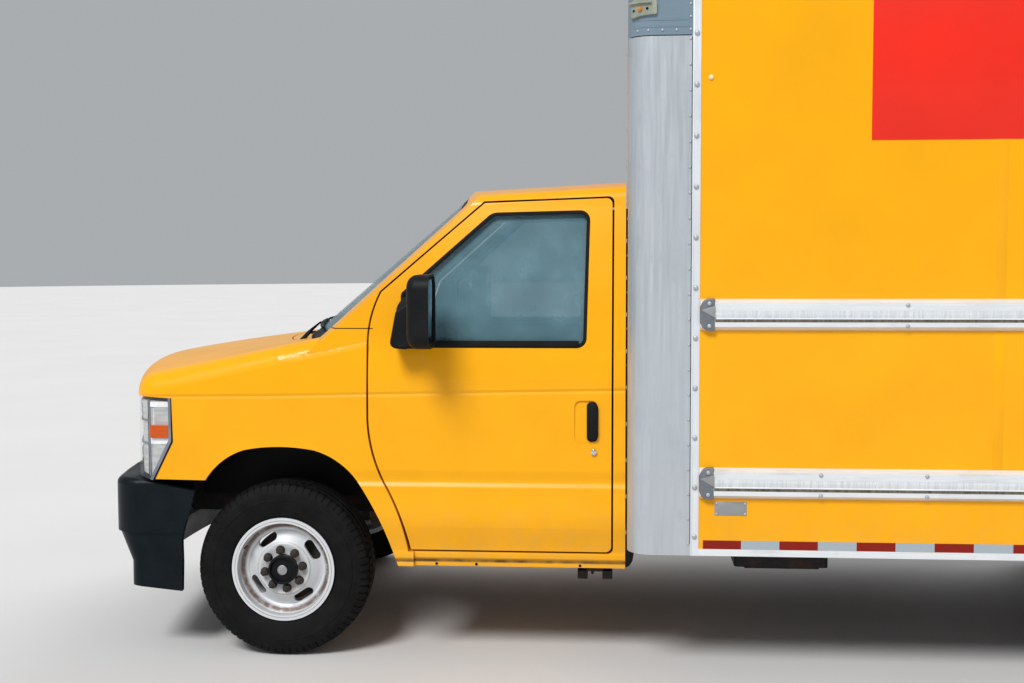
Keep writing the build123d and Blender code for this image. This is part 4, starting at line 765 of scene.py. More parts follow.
# %% Mirror glass and sleeves
f = Finish("mirror_glass")
film = f.noise(9.0, 3.0)
f.shade(colour=f.mix(film, (0.30, 0.42, 0.50), (0.38, 0.50, 0.58)), rough=f.ramp(film, 0.3, 0.7, 0.03, 0.07),
        metallic=1.0)
SLEEVE = [(486, 1328), (556, 1321), (609, 1345), (615, 1446), (568, 1512), (512, 1478)]
FOOT = [(472, 1316), (600, 1316), (600, 1500), (560, 1560), (500, 1500)]
for side_name, side in SIDES:
    door = "door_" + side_name
    corners = [(side * y, z) for y, z in rectangle(1076, 1268, 1345, 1614)]
    outline = rounded_outline(corners if side > 0 else corners[::-1], 46, 8)
    pane = bevel(slab([at(662, y, z) for y, z in outline], (0.006, 0, 0)), 0.002, 2, 40)
    hang(pane, "mirror_glass_" + side_name, "mirror_glass", door)
    lip = frame_of([at(664, y, z) for y, z in outline], 0.006, (0.008, 0, 0))
    hang(lip, "mirror_lip_" + side_name, "rubber", door)
    sleeve = skin_slab(side, SLEEVE, [26, 26, 22, 30, 26, 24], 0.130, -0.002, 0.004, 2, 50)
    foot = skin_slab(side, FOOT, [46, 10, 20, 18, 60], 0.022, -0.002, 0.009, 3, 50, (1350, 1550, 45))
    hang([sleeve, foot], "mirror_sleeve_" + side_name, "black_plastic", door)

# %% [markdown]
# Around the lamp, the nose is one moulding. A copy of the lamp's own form is cut with planes into the parts
# that differ: a grey bezel along its rear edge, a mirrored inner shell with rows of cells, and the amber
# side marker. Each copy is drawn inwards a little, so that the clear cover stays outside.

# %% Headlamp insides


def plane(axis, place, way):
    """A plane square to an axis, at a place in millimetres, that cuts off what lies the given way."""
    point, normal = [0, 0, 0], [0, 0, 0]
    point[axis], normal[axis] = place, way
    return at(*point), normal


def cut_copy(node_name, planes, grow=0.0):
    """A merged copy of a node, grown by a distance and kept on one side of each plane."""
    piece = nodes[node_name].copy()
    piece.data = nodes[node_name].data.copy()
    piece.parent = None
    piece.matrix_world = Matrix.Identity(4)
    scene.collection.objects.link(piece)
    outward(piece)
    with editing(piece, False):
        if grow:
            bpy.ops.mesh.select_all(action="SELECT")
            bpy.ops.transform.shrink_fatten(value=grow, use_even_offset=True)
        for point, normal in planes:
            bpy.ops.mesh.select_all(action="SELECT")
            bpy.ops.mesh.bisect(plane_co=point, plane_no=normal, use_fill=True, clear_outer=True)
    return piece


# The reflector's light grey, mostly matte colour is partly a painted reflection: it stands in for the chrome
# shell's bright highlights.
f = Finish("reflector")
cells = f.noise(3.0, 2.0, stretch=(5.0, 5.0, 24.0))
f.shade(colour=f.mix(f.ramp(cells, 0.35, 0.65), (0.66, 0.67, 0.64), (0.50, 0.52, 0.52)), metallic=0.35,
        rough=f.ramp(cells, 0.3, 0.7, 0.34, 0.46))
hang(cut_copy("headlamps", [], -0.016), "headlamp_reflectors", "reflector")

# Each row: the finish, how far it is grown, and from and to x and z, or one point of the sloping rear edge
SLOPE = (-0.891, 0, 0.454)
LAMP_CUTS = (("bezel_grey", 0.0012, (-489, -440, 910, 1130)), ("bezel_grey", 0.0014, (-488, 924)),
             ("grey_plastic", 0.0020, (-477.5, -440, 915, 1130)), ("grey_plastic", 0.0022, (-476.5, 917)),
             ("grey_plastic", -0.011, (-586, -584, 770, 1100)),
             ("amber_lens", 0.0007, (-572, -490, 930, 983)),
             ("bezel_grey", -0.010, (-582, -576, 760, 1105)), ("bezel_grey", -0.009, (-760, -582, 902, 908)),
             # The two lamp_white rows are painted highlights on the reflector.
             ("bezel_grey", -0.009, (-760, -582, 1000, 1006)), ("lamp_white", -0.012, (-574, -490, 902, 926)),
             ("lamp_white", -0.012, (-574, -490, 1060, 1082)))
lamp_parts = {}
for side_name, side in SIDES:
    for finish, grow, cut in LAMP_CUTS:
        if len(cut) == 4:
            planes = [plane(0, cut[0], -1), plane(0, cut[1], 1), plane(2, cut[2], -1), plane(2, cut[3], 1)]
        else:
            planes = [(at(cut[0], 0, cut[1]), SLOPE)]
        piece = cut_copy("headlamps", planes + [plane(1, 0, -side)], grow)
        lamp_parts.setdefault(finish, []).append(piece)
hang(lamp_parts["bezel_grey"], "headlamp_bezels", "bezel_grey")
hang(lamp_parts["grey_plastic"], "headlamp_shadow_lines", "grey_plastic")
hang(lamp_parts["amber_lens"], "headlamp_side_markers", "amber_lens")
# The white bars above and below the marker are painted highlights, standing in for the reflector's bright
# reflections.
hang(lamp_parts["lamp_white"], "headlamp_white_bars", "lamp_white")

# %% [markdown]
# From the front, each lamp shows a round bowl with its bulb in the lower cell and a smaller one above. Their
# rims are rings that stand just behind the clear cover, wherever it is at that place.

# %% Bowls and bulbs
bowls = []
bulbs = []
for side_name, side in SIDES:
    for y, z, radius in ((700, 838, 50), (815, 838, 36), (690, 1048, 36), (800, 1048, 32)):
        hit, point, normal, face = nodes["headlamps"].ray_cast(at(-1500, side * y, z), Vector((1, 0, 0)))
        turn = normal.to_track_quat("Z", "Y").to_euler()
        bpy.ops.mesh.primitive_torus_add(location=point - normal * 0.012, rotation=turn,
                                         major_radius=radius * MM, minor_radius=0.004,
                                         major_segments=40, minor_segments=8)
        bowls.append(apply_place(bpy.context.object))
        bpy.ops.mesh.primitive_uv_sphere_add(segments=20, ring_count=10, radius=radius * MM * 0.3,
                                             location=point - normal * 0.014)
        bulbs.append(bpy.context.object)
        bulbs[-1].scale = (0.5, 1, 1)
        apply_place(bulbs[-1])
hang(bowls, "headlamp_bowls", "chrome")
hang(bulbs, "headlamp_bulbs", "lamp_white")

# %% [markdown]
# The cargo box is riveted and bolted together, and those heads catch the light in rows. One low dome does
# for every rivet, since each is only a few millimetres across: a few dozen faces, copied in a row. Larger
# round bolts hold the rub rails to the posts behind the skin.

# %% Patterns for rivets and bolts
FRONTWARDS, REARWARDS = -90, 90
OUTWARDS = {-1: 0, 1: 180}


def make_rivet(radius, height, segments):
    """A low round head that stands up along -Y from the origin."""
    bpy.ops.mesh.primitive_uv_sphere_add(segments=segments, ring_count=6, radius=radius)
    head = bpy.context.object
    with editing(head):
        bpy.ops.mesh.bisect(plane_co=(0, 0, 0.0001), plane_no=(0, 0, 1), use_fill=True, clear_inner=True)
        bpy.ops.mesh.select_all(action="SELECT")
        bpy.ops.transform.resize(value=(1, 1, height / radius))
        bpy.ops.transform.rotate(value=math.pi / 2, orient_axis="X", center_override=(0, 0, 0))
    if sum(vertex.co.y for vertex in head.data.vertices) > 0:
        moved(head, Matrix.Rotation(math.pi, 4, "Z"))
    return head


def spread(pattern, points, turn):
    """Copies of a pattern at points, each turned about its upright axis by some degrees."""
    turned = Matrix.Rotation(math.radians(turn), 4, "Z")
    return [copy_of(pattern, Matrix.Translation(point) @ turned) for point in points]


def steps_between(first, last, pitch):
    """Evenly spaced numbers from the first to at most the last."""
    return [first + pitch * number for number in range(int((last - first) / pitch + 1e-6) + 1)]


def on_skin(node_name, x, z, side):
    """The point and the outward direction where a node's side stands, x behind the axle and z up."""
    hit, point, normal, face = nodes[node_name].ray_cast(at(x, side * 2000, z), Vector((0, -side, 0)))
    return point, normal


def riveted(pattern, node_name, places, side):
    """Copies of a pattern that stand square on a node's side at (x, z) places."""
    copies = []
    for x, z in places:
        point, normal = on_skin(node_name, x, z, side)
        turn = Vector((0, -1, 0)).rotation_difference(normal).to_matrix().to_4x4()
        copies.append(copy_of(pattern, Matrix.Translation(point) @ turn))
    return copies


rivet = make_rivet(0.0055, 0.0022, 8)
big_rivet = make_rivet(0.010, 0.0038, 12)
rail_bolt = make_rivet(0.0085, 0.0042, 12)

# %% [markdown]
# Rivets run up the corner extrusion about every 20 cm and along the sheet's edge every 10 cm. The front cap
# is held along its lower and rear edges, and the roof rail along the top of the wall.

# %% Rivets on the box
WALL_Y = 1219.2
CAP_FRONT = 1456.8
BOX_END = 6300
heads = []
big_heads = []
for side_name, side in SIDES:
    turn = OUTWARDS[side]
    big_heads += spread(big_rivet, [at(1722, side * 1222.2, z) for z in steps_between(590, 2960, 197)], turn)
    for first, last, pitch in ((560, 2540, 99), (2575, 2970, 49)):
        heads += spread(rivet, [at(1697, side * WALL_Y, z) for z in steps_between(first, last, pitch)], turn)
    heads += spread(rivet, [at(x, side * WALL_Y, 2972) for x in steps_between(1776, BOX_END, 152)], turn)
    big_heads += spread(big_rivet, [at(CAP_FRONT, side * 1014, z) for z in steps_between(560, 2540, 150)],
                        FRONTWARDS)
    heads += riveted(rivet, "front_cap", [(x, 2574) for x in (1493, 1534, 1588, 1643)], side)
    heads += spread(rivet, [at(CAP_FRONT, side * 985, z) for z in steps_between(800, 2540, 150)]
                    + [at(CAP_FRONT, side * y, 2572) for y in steps_between(40, 1100, 118)], FRONTWARDS)
    hang(spread(big_rivet, [at(1776, side * WALL_Y, 2390)], turn), "wall_plug_" + side_name, "plug_cream")
hang(heads, "box_rivets", "rivet")
hang(big_heads, "corner_rivets", "rivet")

# %% [markdown]
# A rub rail is one extrusion with a rounded crown along its middle that takes the knocks. The crown is
# polished bright, and its finish is lighter than the rail's as a painted highlight on its round. Just below
# it, a dark strip in the channel is painted shade with some dirt in it. Each rail ends in a dark cast cap
# with rounded front corners that is bolted through, and pairs of bolts with low heads follow at the posts.

# %% Crowns, caps and bolts of the rub rails
RAILS = ((1410, 2533, 812), (745, 2211, 406))
# The crown's pale colour is partly polish and partly a painted highlight on its round.
f = Finish("rail_crown")
rub = f.noise(3.0, 5.0, 0.6, (26.0, 4.0, 2.0))
f.shade(colour=f.mix(f.ramp(rub, 0.35, 0.7), (0.86, 0.90, 0.93), (0.62, 0.67, 0.71)), metallic=0.35,
        rough=f.ramp(rub, 0.3, 0.7, 0.25, 0.4))
# The channel's dark brown is painted shade under the crown, with some dirt.
f = Finish("rail_dirt")
blotch = f.noise(5.0, 5.0, 0.65, (14.0, 4.0, 4.0))
f.shade(colour=f.mix(f.ramp(blotch, 0.3, 0.7), (0.05, 0.036, 0.02), (0.20, 0.17, 0.13)), rough=0.9)
f.bump(blotch, 0.3, 0.001)
crowns = []
dirt = []
bolts = []
caps = []
wedges = []
for side_name, side in SIDES:
    turn = OUTWARDS[side]
    for low, first, pitch in RAILS:
        arc = [(1237 + 6.5 * math.sin(math.pi * step / 8), low + 45 + 49 * step / 8) for step in range(9)]
        crowns.append(slab([at(1796, side * y, z) for y, z in arc], (4.5295, 0, 0)))
        # A dark strip along the channel: painted shade under the crown, with some dirt.
        dirt.append(block((1797, side * 1236, low + 32), (6325, side * 1243.4, low + 44)))
        for x in steps_between(first, BOX_END, pitch):
            bolts += spread(rail_bolt, [at(x, side * 1242.8, low + 99), at(x, side * 1242.6, low + 18)], turn)
        bolts += spread(rail_bolt, [at(1774, side * 1245, low + z) for z in (105, 17)], turn)
        caps.append(side_slab(rectangle(1739, 1796, low - 2, low + 124), [36, 3, 3, 36], side * 0.026,
                              0.007, 3, y=side * 1219))
        wedge = side_slab([(1743, low + 80), (1797, low + 48), (1797, low + 96)], None, side * 0.012,
                          y=side * 1238)
        for vertex in wedge.data.vertices:
            if vertex.co.x < at(1750, 0, 0).x and abs(vertex.co.y) > 1.24:
                vertex.co.y = side * 1.2455
        wedges.append(wedge)
hang(bevel(join(crowns), 0.0008, 1, 50), "rub_rail_crowns", "rail_crown")
hang(bevel(join(dirt), 0.0002, 1, 50), "rub_rail_dirt", "rail_dirt")
hang(bevel(join(wedges), 0.001, 2, 30), "rub_rail_wedges", "galvanised")
hang(bolts, "rub_rail_bolts", "rivet")
hang(caps, "rub_rail_caps", "cast_grey")

# %% [markdown]
# Reflective tape runs along the skirt: pieces 15 cm long, red and white in turn, starting with red. The
# tape's surface is a layer of small cells under clear film, which is a bump too fine to model. It stops at
# the arch of the rear wheels.

# %% Reflective tape and the small plate
TAPE_STEP = 149.8
TAPE_END = 6324
WHEELBASE = 4013
ARCH_HALF = 512
tapes = (("tape_red", (0.27, 0.010, 0.004), "red_lens", []),
         ("tape_white", (0.42, 0.49, 0.54), "white_paint", []))
for side_name, side in SIDES:
    for number, x in enumerate(steps_between(1756, BOX_END, TAPE_STEP)):
        end = min(x + TAPE_STEP, TAPE_END)
        if end <= WHEELBASE - ARCH_HALF or x >= WHEELBASE + ARCH_HALF:
            tapes[number % 2][3].append(block((x, side * 1218.8, 541.5), (end - 0.4, side * 1219.7, 576)))
for number in range(5):
    y = (number - 2.5) * TAPE_STEP
    tapes[number % 2][3].append(block((6602.6, y, 492), (6603.6, y + TAPE_STEP - 0.4, 542)))
for name, colour, slot, pieces in tapes:
    f = Finish(name)
    cells = f.node("TexVoronoi", {"Vector": f.place, "Scale": 260.0, "Randomness": 0.0}).outputs["Distance"]
    f.shade(colour=f.mix(f.ramp(cells, 0.2, 0.6), colour, scaled(colour, 0.72)), rough=0.35, specular=0.25)
    f.bump(cells, 0.15, 0.0005)
    hang(bevel(join(pieces), 0.0002, 1, 40), name, name)
plates = []
heads = []
for side_name, side in SIDES:
    plates.append(block((1801, side * 1218.8, 676), (1927, side * 1220.4, 731), 0.0005))
    heads += spread(rivet, [at(x, side * 1220.3, z) for x in (1808, 1920) for z in (683, 724)],
                    OUTWARDS[side])
hang(plates, "blank_side_plates", "galvanised")
hang(heads, "side_plate_rivets", "rivet")

# %% [markdown]
# The side wall is made of sheets a little over a metre wide that lap over each other at a post, which leaves
# an upright step one can see when the light rakes along the side. Above the rails a plain red field is
# painted on, with square corners. It is a film less than a millimetre thick.

# %% Wall laps and the red field
laps = []
fields = []
for side_name, side in SIDES:
    for x in (2868, 4087, 5306):
        for z0, z1 in ((871, 1407), (1536, 2988)):
            laps.append(block((x, side * 1218.5, z0), (x + 38, side * 1219.8, z1), 0.0004))
    fields.append(block((2390, side * 1218.5, 2143), (5290, side * 1220.3, 2905), 0.0003))
paint("red_field", (0.86, 0.022, 0.008), gloss=0.35)
hang(laps, "wall_laps", "yellow_paint")
hang(fields, "red_side_fields", "red_field")
print("rivets and trim on the box are in place")

# %% [markdown]
# A cream housing for a marker lamp wraps round each upper corner of the cap. It holds a small amber lamp
# between two screws. The housing starts as a flat plate cut by upright planes, and each of its points is
# moved out to the cap's skin, so it bends with the corner. The other marker lamps keep the form of their
# node, amber in front and red behind.

# %% Marker lamps
POD = [(1473, 2620), (1508, 2629), (1567, 2634), (1567, 2696), (1473, 2696)]
SCREWS = ((1486, 2651), (1531, 2656))
POST_RIB = ((1706.5, 0), (1706.5, 4.4), (1709, 5.2), (1712, 5.2), (1714, 0))


def wrapped_plate(node_name, outline, thickness, side, rounding=0.0, segments=3):
    """A plate with an outline of (x, z) points that bends round a node's side, a thickness above it."""
    plate = side_slab(outline, None, side * thickness)
    with editing(plate):
        for x in steps_between(min(p[0] for p in outline) + 8, max(p[0] for p in outline), 9):
            bpy.ops.mesh.select_all(action="SELECT")
            bpy.ops.mesh.bisect(plane_co=at(x, 0, 0), plane_no=(1, 0, 0))
    for vertex in plate.data.vertices:
        point, normal = on_skin(node_name, (vertex.co.x - axle_x) / MM, vertex.co.z / MM, side)
        vertex.co = point + normal * (abs(vertex.co.y) - 0.0008)
    outward(plate)
    return bevel(plate, rounding, segments, 50) if rounding else plate


housings = []
screws = []
lamps = []
seams = []
edges = []
posts = []
for side_name, side in SIDES:
    housings += [wrapped_plate("front_cap", rounded_outline(POD, [10, 30, 6, 20, 20]), 0.012, side, 0.003),
                 wrapped_plate("front_cap", rectangle(1474, 1546, 2676, 2684), 0.022, side, 0.003, 2)]
    # Two thin black strips, along the cap's lower edge and beside the post, are painted shadow where the
    # sheet meets them.
    edges += [wrapped_plate("front_corners", rectangle(1462, 1703, 2551.5, 2555), 0.0012, side),
              block((1702.5, side * 1218.6, 560), (1705, side * 1219.5, 2549), 0.0002)]
    for screw, (x, z) in zip(riveted(rivet, "front_cap", SCREWS, side), SCREWS):
        screws.append(moved(screw, Matrix.Translation(on_skin("front_cap", x, 2650, side)[1] * 0.0105)))
    point, normal = on_skin("front_cap", 1507, 2655, side)
    bpy.ops.mesh.primitive_uv_sphere_add(segments=24, ring_count=12, radius=0.0098,
                                         location=point + normal * 0.012)
    lamps.append(apply_place(bpy.context.object))
    seams += [wrapped_plate("front_cap", rectangle(1476, 1692, z, z + 3), 0.002, side) for z in (2585, 2611)]
    posts.append(slab([at(x, side * (1219 + y), 520) for x, y in POST_RIB], (0, 0, 2.46)))
hang(bevel(join(posts), 0.0005, 2, 50), "corner_post_ribs", "post_aluminium")
hang(seams, "cap_seams", "cap_grey")
hang(edges, "corner_sheet_edges", "black_plastic")
hang(housings, "corner_lamp_housings", "lamp_cream")
hang(screws, "corner_lamp_screws", "black_plastic")
lamps.append(cut_copy("marker_lamps", [plane(0, 1475, 1)]))
amber = hang(lamps, "amber_marker_lamps", "lamp_amber")
red = hang(cut_copy("marker_lamps", [plane(0, 3000, -1)]), "red_marker_lamps", "red_lens")
for piece in (amber, red):
    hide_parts("marker_lamps")

# %% [markdown]
# Cab and box are separate bodies with a gap a finger wide. On both sides a black rubber strip fills it, as
# painted shade: it stands where the gap shows only its shadow. Under the cab's rear corner hang a mounting
# bracket and a short rubber flap, and round plugs close the drain holes along the sill.

# %% Gap shade strips, flaps, bracket and plugs behind the cab
GAP_SHADE_OUTLINE = [(1449.4, 420), (1456.6, 520), (1456.6, 1895), (1449.4, 1895)]
FLAP = [(1449.4, 405), (1466, 412), (1480, 434), (1486, 470), (1486, 511), (1449.4, 511)]
BRACKET = ((1250, 1292, 342, 400), (1354, 1396, 342, 400), (1250, 1396, 374, 401), (1306, 1318, 362, 380))
gap_shade_and_flaps = []
brackets = []
plugs = []
for side_name, side in SIDES:
    # The strip in the gap is painted shade: black rubber where the gap shows only shadow.
    gap_shade_and_flaps += [skin_slab(side, GAP_SHADE_OUTLINE, None, -0.030, -0.012, slices=(560, 1890, 60)),
              side_slab(FLAP, None, -side * 0.030, 0.003, 2, 30, y=side * 985)]
    brackets += [block((x0, side * 930, z0), (x1, side * 868, z1), 0.004) for x0, x1, z0, z1 in BRACKET]
    plugs += [disc(0.006, 0.0015, on_skin("cab_body", x, 411, side)[0], side, 0.0005, 20)
              for x in (660, 828, 1262)]
hang(gap_shade_and_flaps, "cab_box_seal", "rubber")
hang(brackets, "cab_mount_brackets", "black_paint")
hang(plugs, "sill_plugs", "rubber")

# %% [markdown]
# The windshield is a bent sheet that leans back by about forty degrees. Its trim is easiest to lay out flat,
# as it looks square on, with u across and v down the glass, and then to bend onto the surface. One function
# does the bending: it follows the arc the glass has from side to side.

# %% The windshield's surface
GLASS_TILT = math.radians(40.45)
GLASS_RADIUS = 4001.5
GLASS_BOW = 92
GLASS_THICK = 5
GLASS_HALF = 905
GLASS_LOW = 137
LOW_BOW = 108
BLADE_ABOVE = 69
glass_origin = at(231, 0, 1434)
glass_normal = Vector((-math.sin(GLASS_TILT), 0, math.cos(GLASS_TILT)))
glass_down = Vector((-math.cos(GLASS_TILT), 0, -math.sin(GLASS_TILT)))


def on_glass(u, v, lift):
    """The point u across and v down the windshield, lifted off its outer face, all in millimetres."""
    bow = GLASS_BOW - (GLASS_RADIUS - math.sqrt(GLASS_RADIUS ** 2 - u ** 2))
    return (glass_origin + Vector((0, u * MM, 0)) + glass_down * (v * MM)
            + glass_normal * ((bow - GLASS_THICK + lift) * MM))


def glass_outline(inset_side, inset_top, inset_low):
    """The edge of the windshield seen square on, moved inwards, as (u, v) points."""
    low, high = GLASS_HALF - inset_side, 765 - inset_side
    bottom, top = GLASS_LOW - inset_low, inset_top - 722
    across = [step / 10 - 1 for step in range(21)]
    edge = [(low + (high - low) * step / 10, bottom + (top - bottom) * step / 10) for step in range(1, 10)]
    return ([(low * share, bottom + LOW_BOW * (1 - share ** 2)) for share in across] + edge
            + [(-high * share, top - 30 * (1 - share ** 2)) for share in across]
            + [(-u, v) for u, v in reversed(edge)])


def glass_band(outer, inner, lift, thick):
    """A band between two outlines on the glass, laid out flat with a thickness and then bent."""
    count = len(outer)
    band = mesh_of([(u * MM, v * MM, lift * MM) for u, v in outer + inner],
                   faces=[(i, (i + 1) % count, count + (i + 1) % count, count + i) for i in range(count)])
    with editing(band):
        bpy.ops.mesh.extrude_region_move(TRANSFORM_OT_translate={"value": (0, 0, thick * MM)})
    outward(band)
    for vertex in band.data.vertices:
        vertex.co = on_glass(*(part / MM for part in vertex.co))
    band.data.update()
    return outward(band)


# %% [markdown]
# A black printed band runs round the edge of the glass and hides the glue. It is widest along the bottom,
# where the wipers rest. A black rubber bead closes the gap to the pillars and the roof. Two wipers rest
# along the lower edge. Each has a round pivot on the cowl, a tapered arm and a slim blade with a rubber
# edge, made of short straight lengths that follow the glass.

# %% Band, bead and wipers
hang(glass_band(glass_outline(7, 7, 7), glass_outline(34, 38, 66), 0.1, 0.8), "windshield_band",
     "black_plastic")
hang(glass_band(glass_outline(-5, -5, -5), glass_outline(9, 9, 9), 0.2, 3.4), "windshield_bead", "rubber")


def rest_v(u):
    """How far down the glass the wiper blade lies at u."""
    return GLASS_LOW - BLADE_ABOVE + LOW_BOW * (1 - (u / GLASS_HALF) ** 2)


parts = []
for pivot_u, blade_from, blade_to in ((-560, -790, -190), (80, -130, 500)):
    middle_u = (blade_from + blade_to) / 2 - 40
    pivot = on_glass(pivot_u, rest_v(pivot_u) + 128, 6)
    elbow = on_glass(pivot_u + 60, rest_v(pivot_u) + 70, 24)
    parts += [cylinder(0.017, 0.030, pivot, glass_normal.to_track_quat("Z", "Y").to_euler(), 0.004, 3),
              bar(pivot + glass_normal * 0.012, elbow, 0.024, 0.013, 0.003, 0.8),
              bar(elbow, on_glass(middle_u, rest_v(middle_u) - 2, 24), 0.017, 0.010, 0.0025, 0.6)]
    knots = [blade_from + (blade_to - blade_from) * share for share in (0, 0.25, 0.5, 0.75, 1)]
    for first, last in zip(knots, knots[1:]):
        for lift, *form in ((15, 0.013, 0.010, 0.002, 1.0, 2), (5, 0.004, 0.011, 0.0008, 1.0, 1)):
            parts.append(bar(on_glass(first, rest_v(first), lift), on_glass(last, rest_v(last), lift), *form))
hang(parts, "wipers", "black_plastic")

# %% [markdown]
# The skin of the cab carries a crease from the lamp to the rear of the door. It is a groove a few
# millimetres deep in the pressing, too shallow to matter for size, so the paint's bump carries it: a
# straight line in x and z that dents the surface where a point lies close to it. Lower down, the steps over
# the sill are drawn in the same way. Inside the cabin the same sheet shows its lining: felt above, grey
# panels at the sides and a dark mat on the floor.

# %% Creases in the cab's skin, and its lining
f = paint("yellow_paint_cab", YELLOW)
x, y, z = (f.axes()[axis] for axis in "XYZ")
across = f.sum("ABSOLUTE", y)
CREASE_RISE = 0.0206
crease_z = f.sum("ADD", f.product(x, CREASE_RISE), 1.1163 - axle_x * CREASE_RISE)
height = f.product(f.ramp(f.away(z, crease_z), 0.0, 0.011), 0.0035)
behind_wheel = f.sum("GREATER_THAN", x, axle_x)
for high, low, rise in ((0.815, 0.764, -0.0060), (0.764, 0.732, 0.0125), (0.732, 0.610, 0.0120),
                        (0.61, 0.45, -0.0180)):
    height = f.sum("ADD", height, f.product(f.ramp(z, high, low, 0.0, rise, "SMOOTHSTEP"), behind_wheel))
for high, low, rise in ((0.470, 0.452, 0.0035), (0.440, 0.428, -0.0050), (0.424, 0.412, 0.0040)):
    height = f.sum("ADD", height, f.ramp(z, high, low, 0.0, rise, "SMOOTHSTEP"))
outside = f.ramp(across, 0.93, 0.96)
f.bump(f.product(height, outside), 1.0, 1.0)
# A dark brown line along the groove over the sill is painted shade in the groove, with road dirt in it.
dirt = f.product(f.ramp(f.away(z, 0.425), 0.011, 0.003, 0.0, 0.95), outside,
                 f.ramp(f.noise(9.0, 5.0), 0.3, 0.6, 0.45, 1.0))
seam = f.product(f.ramp(f.away(z, 1.399), 0.003, 0.0015), f.sum("LESS_THAN", x, at(396, 0, 0).x))
base, gloss = (f.shader.inputs[name].links[0].from_socket for name in ("Base Color", "Roughness"))
base = f.mix(f.sum("MAXIMUM", dirt, seam), base, (0.045, 0.025, 0.006))
lean = f.product(f.sum("MAXIMUM", f.sum("SUBTRACT", z, 1.312), 0.0), 0.192)
on_normal = f.node("VectorMath", {0: f.place, 1: glass_normal}, operation="DOT_PRODUCT").outputs["Value"]
inside = f.product(f.sum("LESS_THAN", across, f.sum("SUBTRACT", 0.952, lean)),
                   f.sum("GREATER_THAN", z, 0.728), f.sum("LESS_THAN", x, at(1424, 0, 0).x),
                   f.sum("GREATER_THAN", x, at(272, 0, 0).x),
                   f.sum("LESS_THAN", on_normal, glass_origin.dot(glass_normal) - 0.026),
                   f.sum("LESS_THAN", z, 1.944))
grain = f.noise(9.0, 5.0, 0.6)
lining = f.mix(f.sum("GREATER_THAN", z, 1.80), f.mix(grain, (0.050, 0.051, 0.055), (0.070, 0.071, 0.076)),
               f.mix(f.noise(300.0, 3.0), (0.36, 0.35, 0.33), (0.46, 0.45, 0.43)))
lining = f.mix(f.sum("LESS_THAN", z, 0.746), lining,
               f.mix(grain, (0.014, 0.014, 0.015), (0.030, 0.029, 0.028)))
f.shade(colour=f.mix(inside, base, lining), rough=f.sum("MAXIMUM", gloss, f.product(inside, 0.75)),
        coat=f.product(f.sum("SUBTRACT", 1.0, inside), 0.16))
for node_name in ("fenders", "door_left", "door_right", "cab_body"):
    coat_node(node_name, "yellow_paint_cab")

# %% [markdown]
# The cowl between the hood and the glass is a black moulding with a row of air slots, and two washer nozzles
# stand on it. The roof panel is a separate shell, and its inner face is covered with the same felt as the
# rails beside it. Its faces that look down take the headliner, and the rest keep the paint.

# %% Cowl slots, washer nozzles and headliner
f = Finish("cowl_plastic")
# The air slots are darker than the ribs between them: painted shade in the openings.
slots = f.ramp(f.waves("Y", 18.0), 0.35, 0.6)
f.shade(colour=f.mix(slots, (0.006, 0.006, 0.006), (0.02, 0.02, 0.021)), rough=0.6)
f.bump(slots, 0.9, 0.004)
coat_node("cowl", "cowl_plastic")
hang([block((-24, y - 14, 1335), (8, y + 14, 1349), 0.005) for y in (-330, 330)], "washer_nozzles",
     "black_plastic")
coat_faces("cab_roof", "headliner", lambda face: face.normal.z < -0.3)

# %% [markdown]
# A seat cushion is foam in a cloth cover. Each pad starts as a block a little smaller than its place, is
# remeshed into small even squares, and swells under pressure like a real cover over foam.

# %% Seats
CLOTH_FRAMES = 20
SEAT_Y = -430
FAR = 9


def swell(piece, cap):
    """Remesh a pad and let cloth pressure round it, moving no point further than the cap."""
    only(piece)
    piece.data.remesh_voxel_size = 0.006
    bpy.ops.object.voxel_remesh()
    start = [vertex.co.copy() for vertex in piece.data.vertices]
    cloth = piece.modifiers.new("Cloth", "CLOTH")
    cloth.settings.use_pressure = True
    cloth.settings.uniform_pressure_force = 4.0
    cloth.settings.tension_stiffness = 25
    cloth.settings.compression_stiffness = 25
    cloth.settings.effector_weights.gravity = 0
    cloth.point_cache.frame_start = 1
    cloth.point_cache.frame_end = CLOTH_FRAMES
    for frame_number in range(1, CLOTH_FRAMES + 1):
        scene.frame_set(frame_number)
    bpy.ops.object.modifier_apply(modifier=cloth.name)
    scene.frame_set(1)
    for vertex, was in zip(piece.data.vertices, start):
        move = vertex.co - was
        if move.length > cap:
            vertex.co = was + move.normalized() * cap
    piece.data.update()


def draw_seams(piece, seams, width, depth, facing):
    """Pull a pad's cover in along seams. Each seam is (axis, place, axis of the span, from, to)."""
    normals = [vertex.normal.copy() for vertex in piece.data.vertices]
    for vertex, normal in zip(piece.data.vertices, normals):
        if normal.dot(facing) < 0.2:
            continue
        pull = 0.0
        for axis, place, span, start, end in seams:
            away = abs(vertex.co[axis] - place)
            if start <= vertex.co[span] <= end and away < width:
                pull = max(pull, (1 - away / width) ** 2)
        vertex.co -= normal * depth * pull
    piece.data.update()


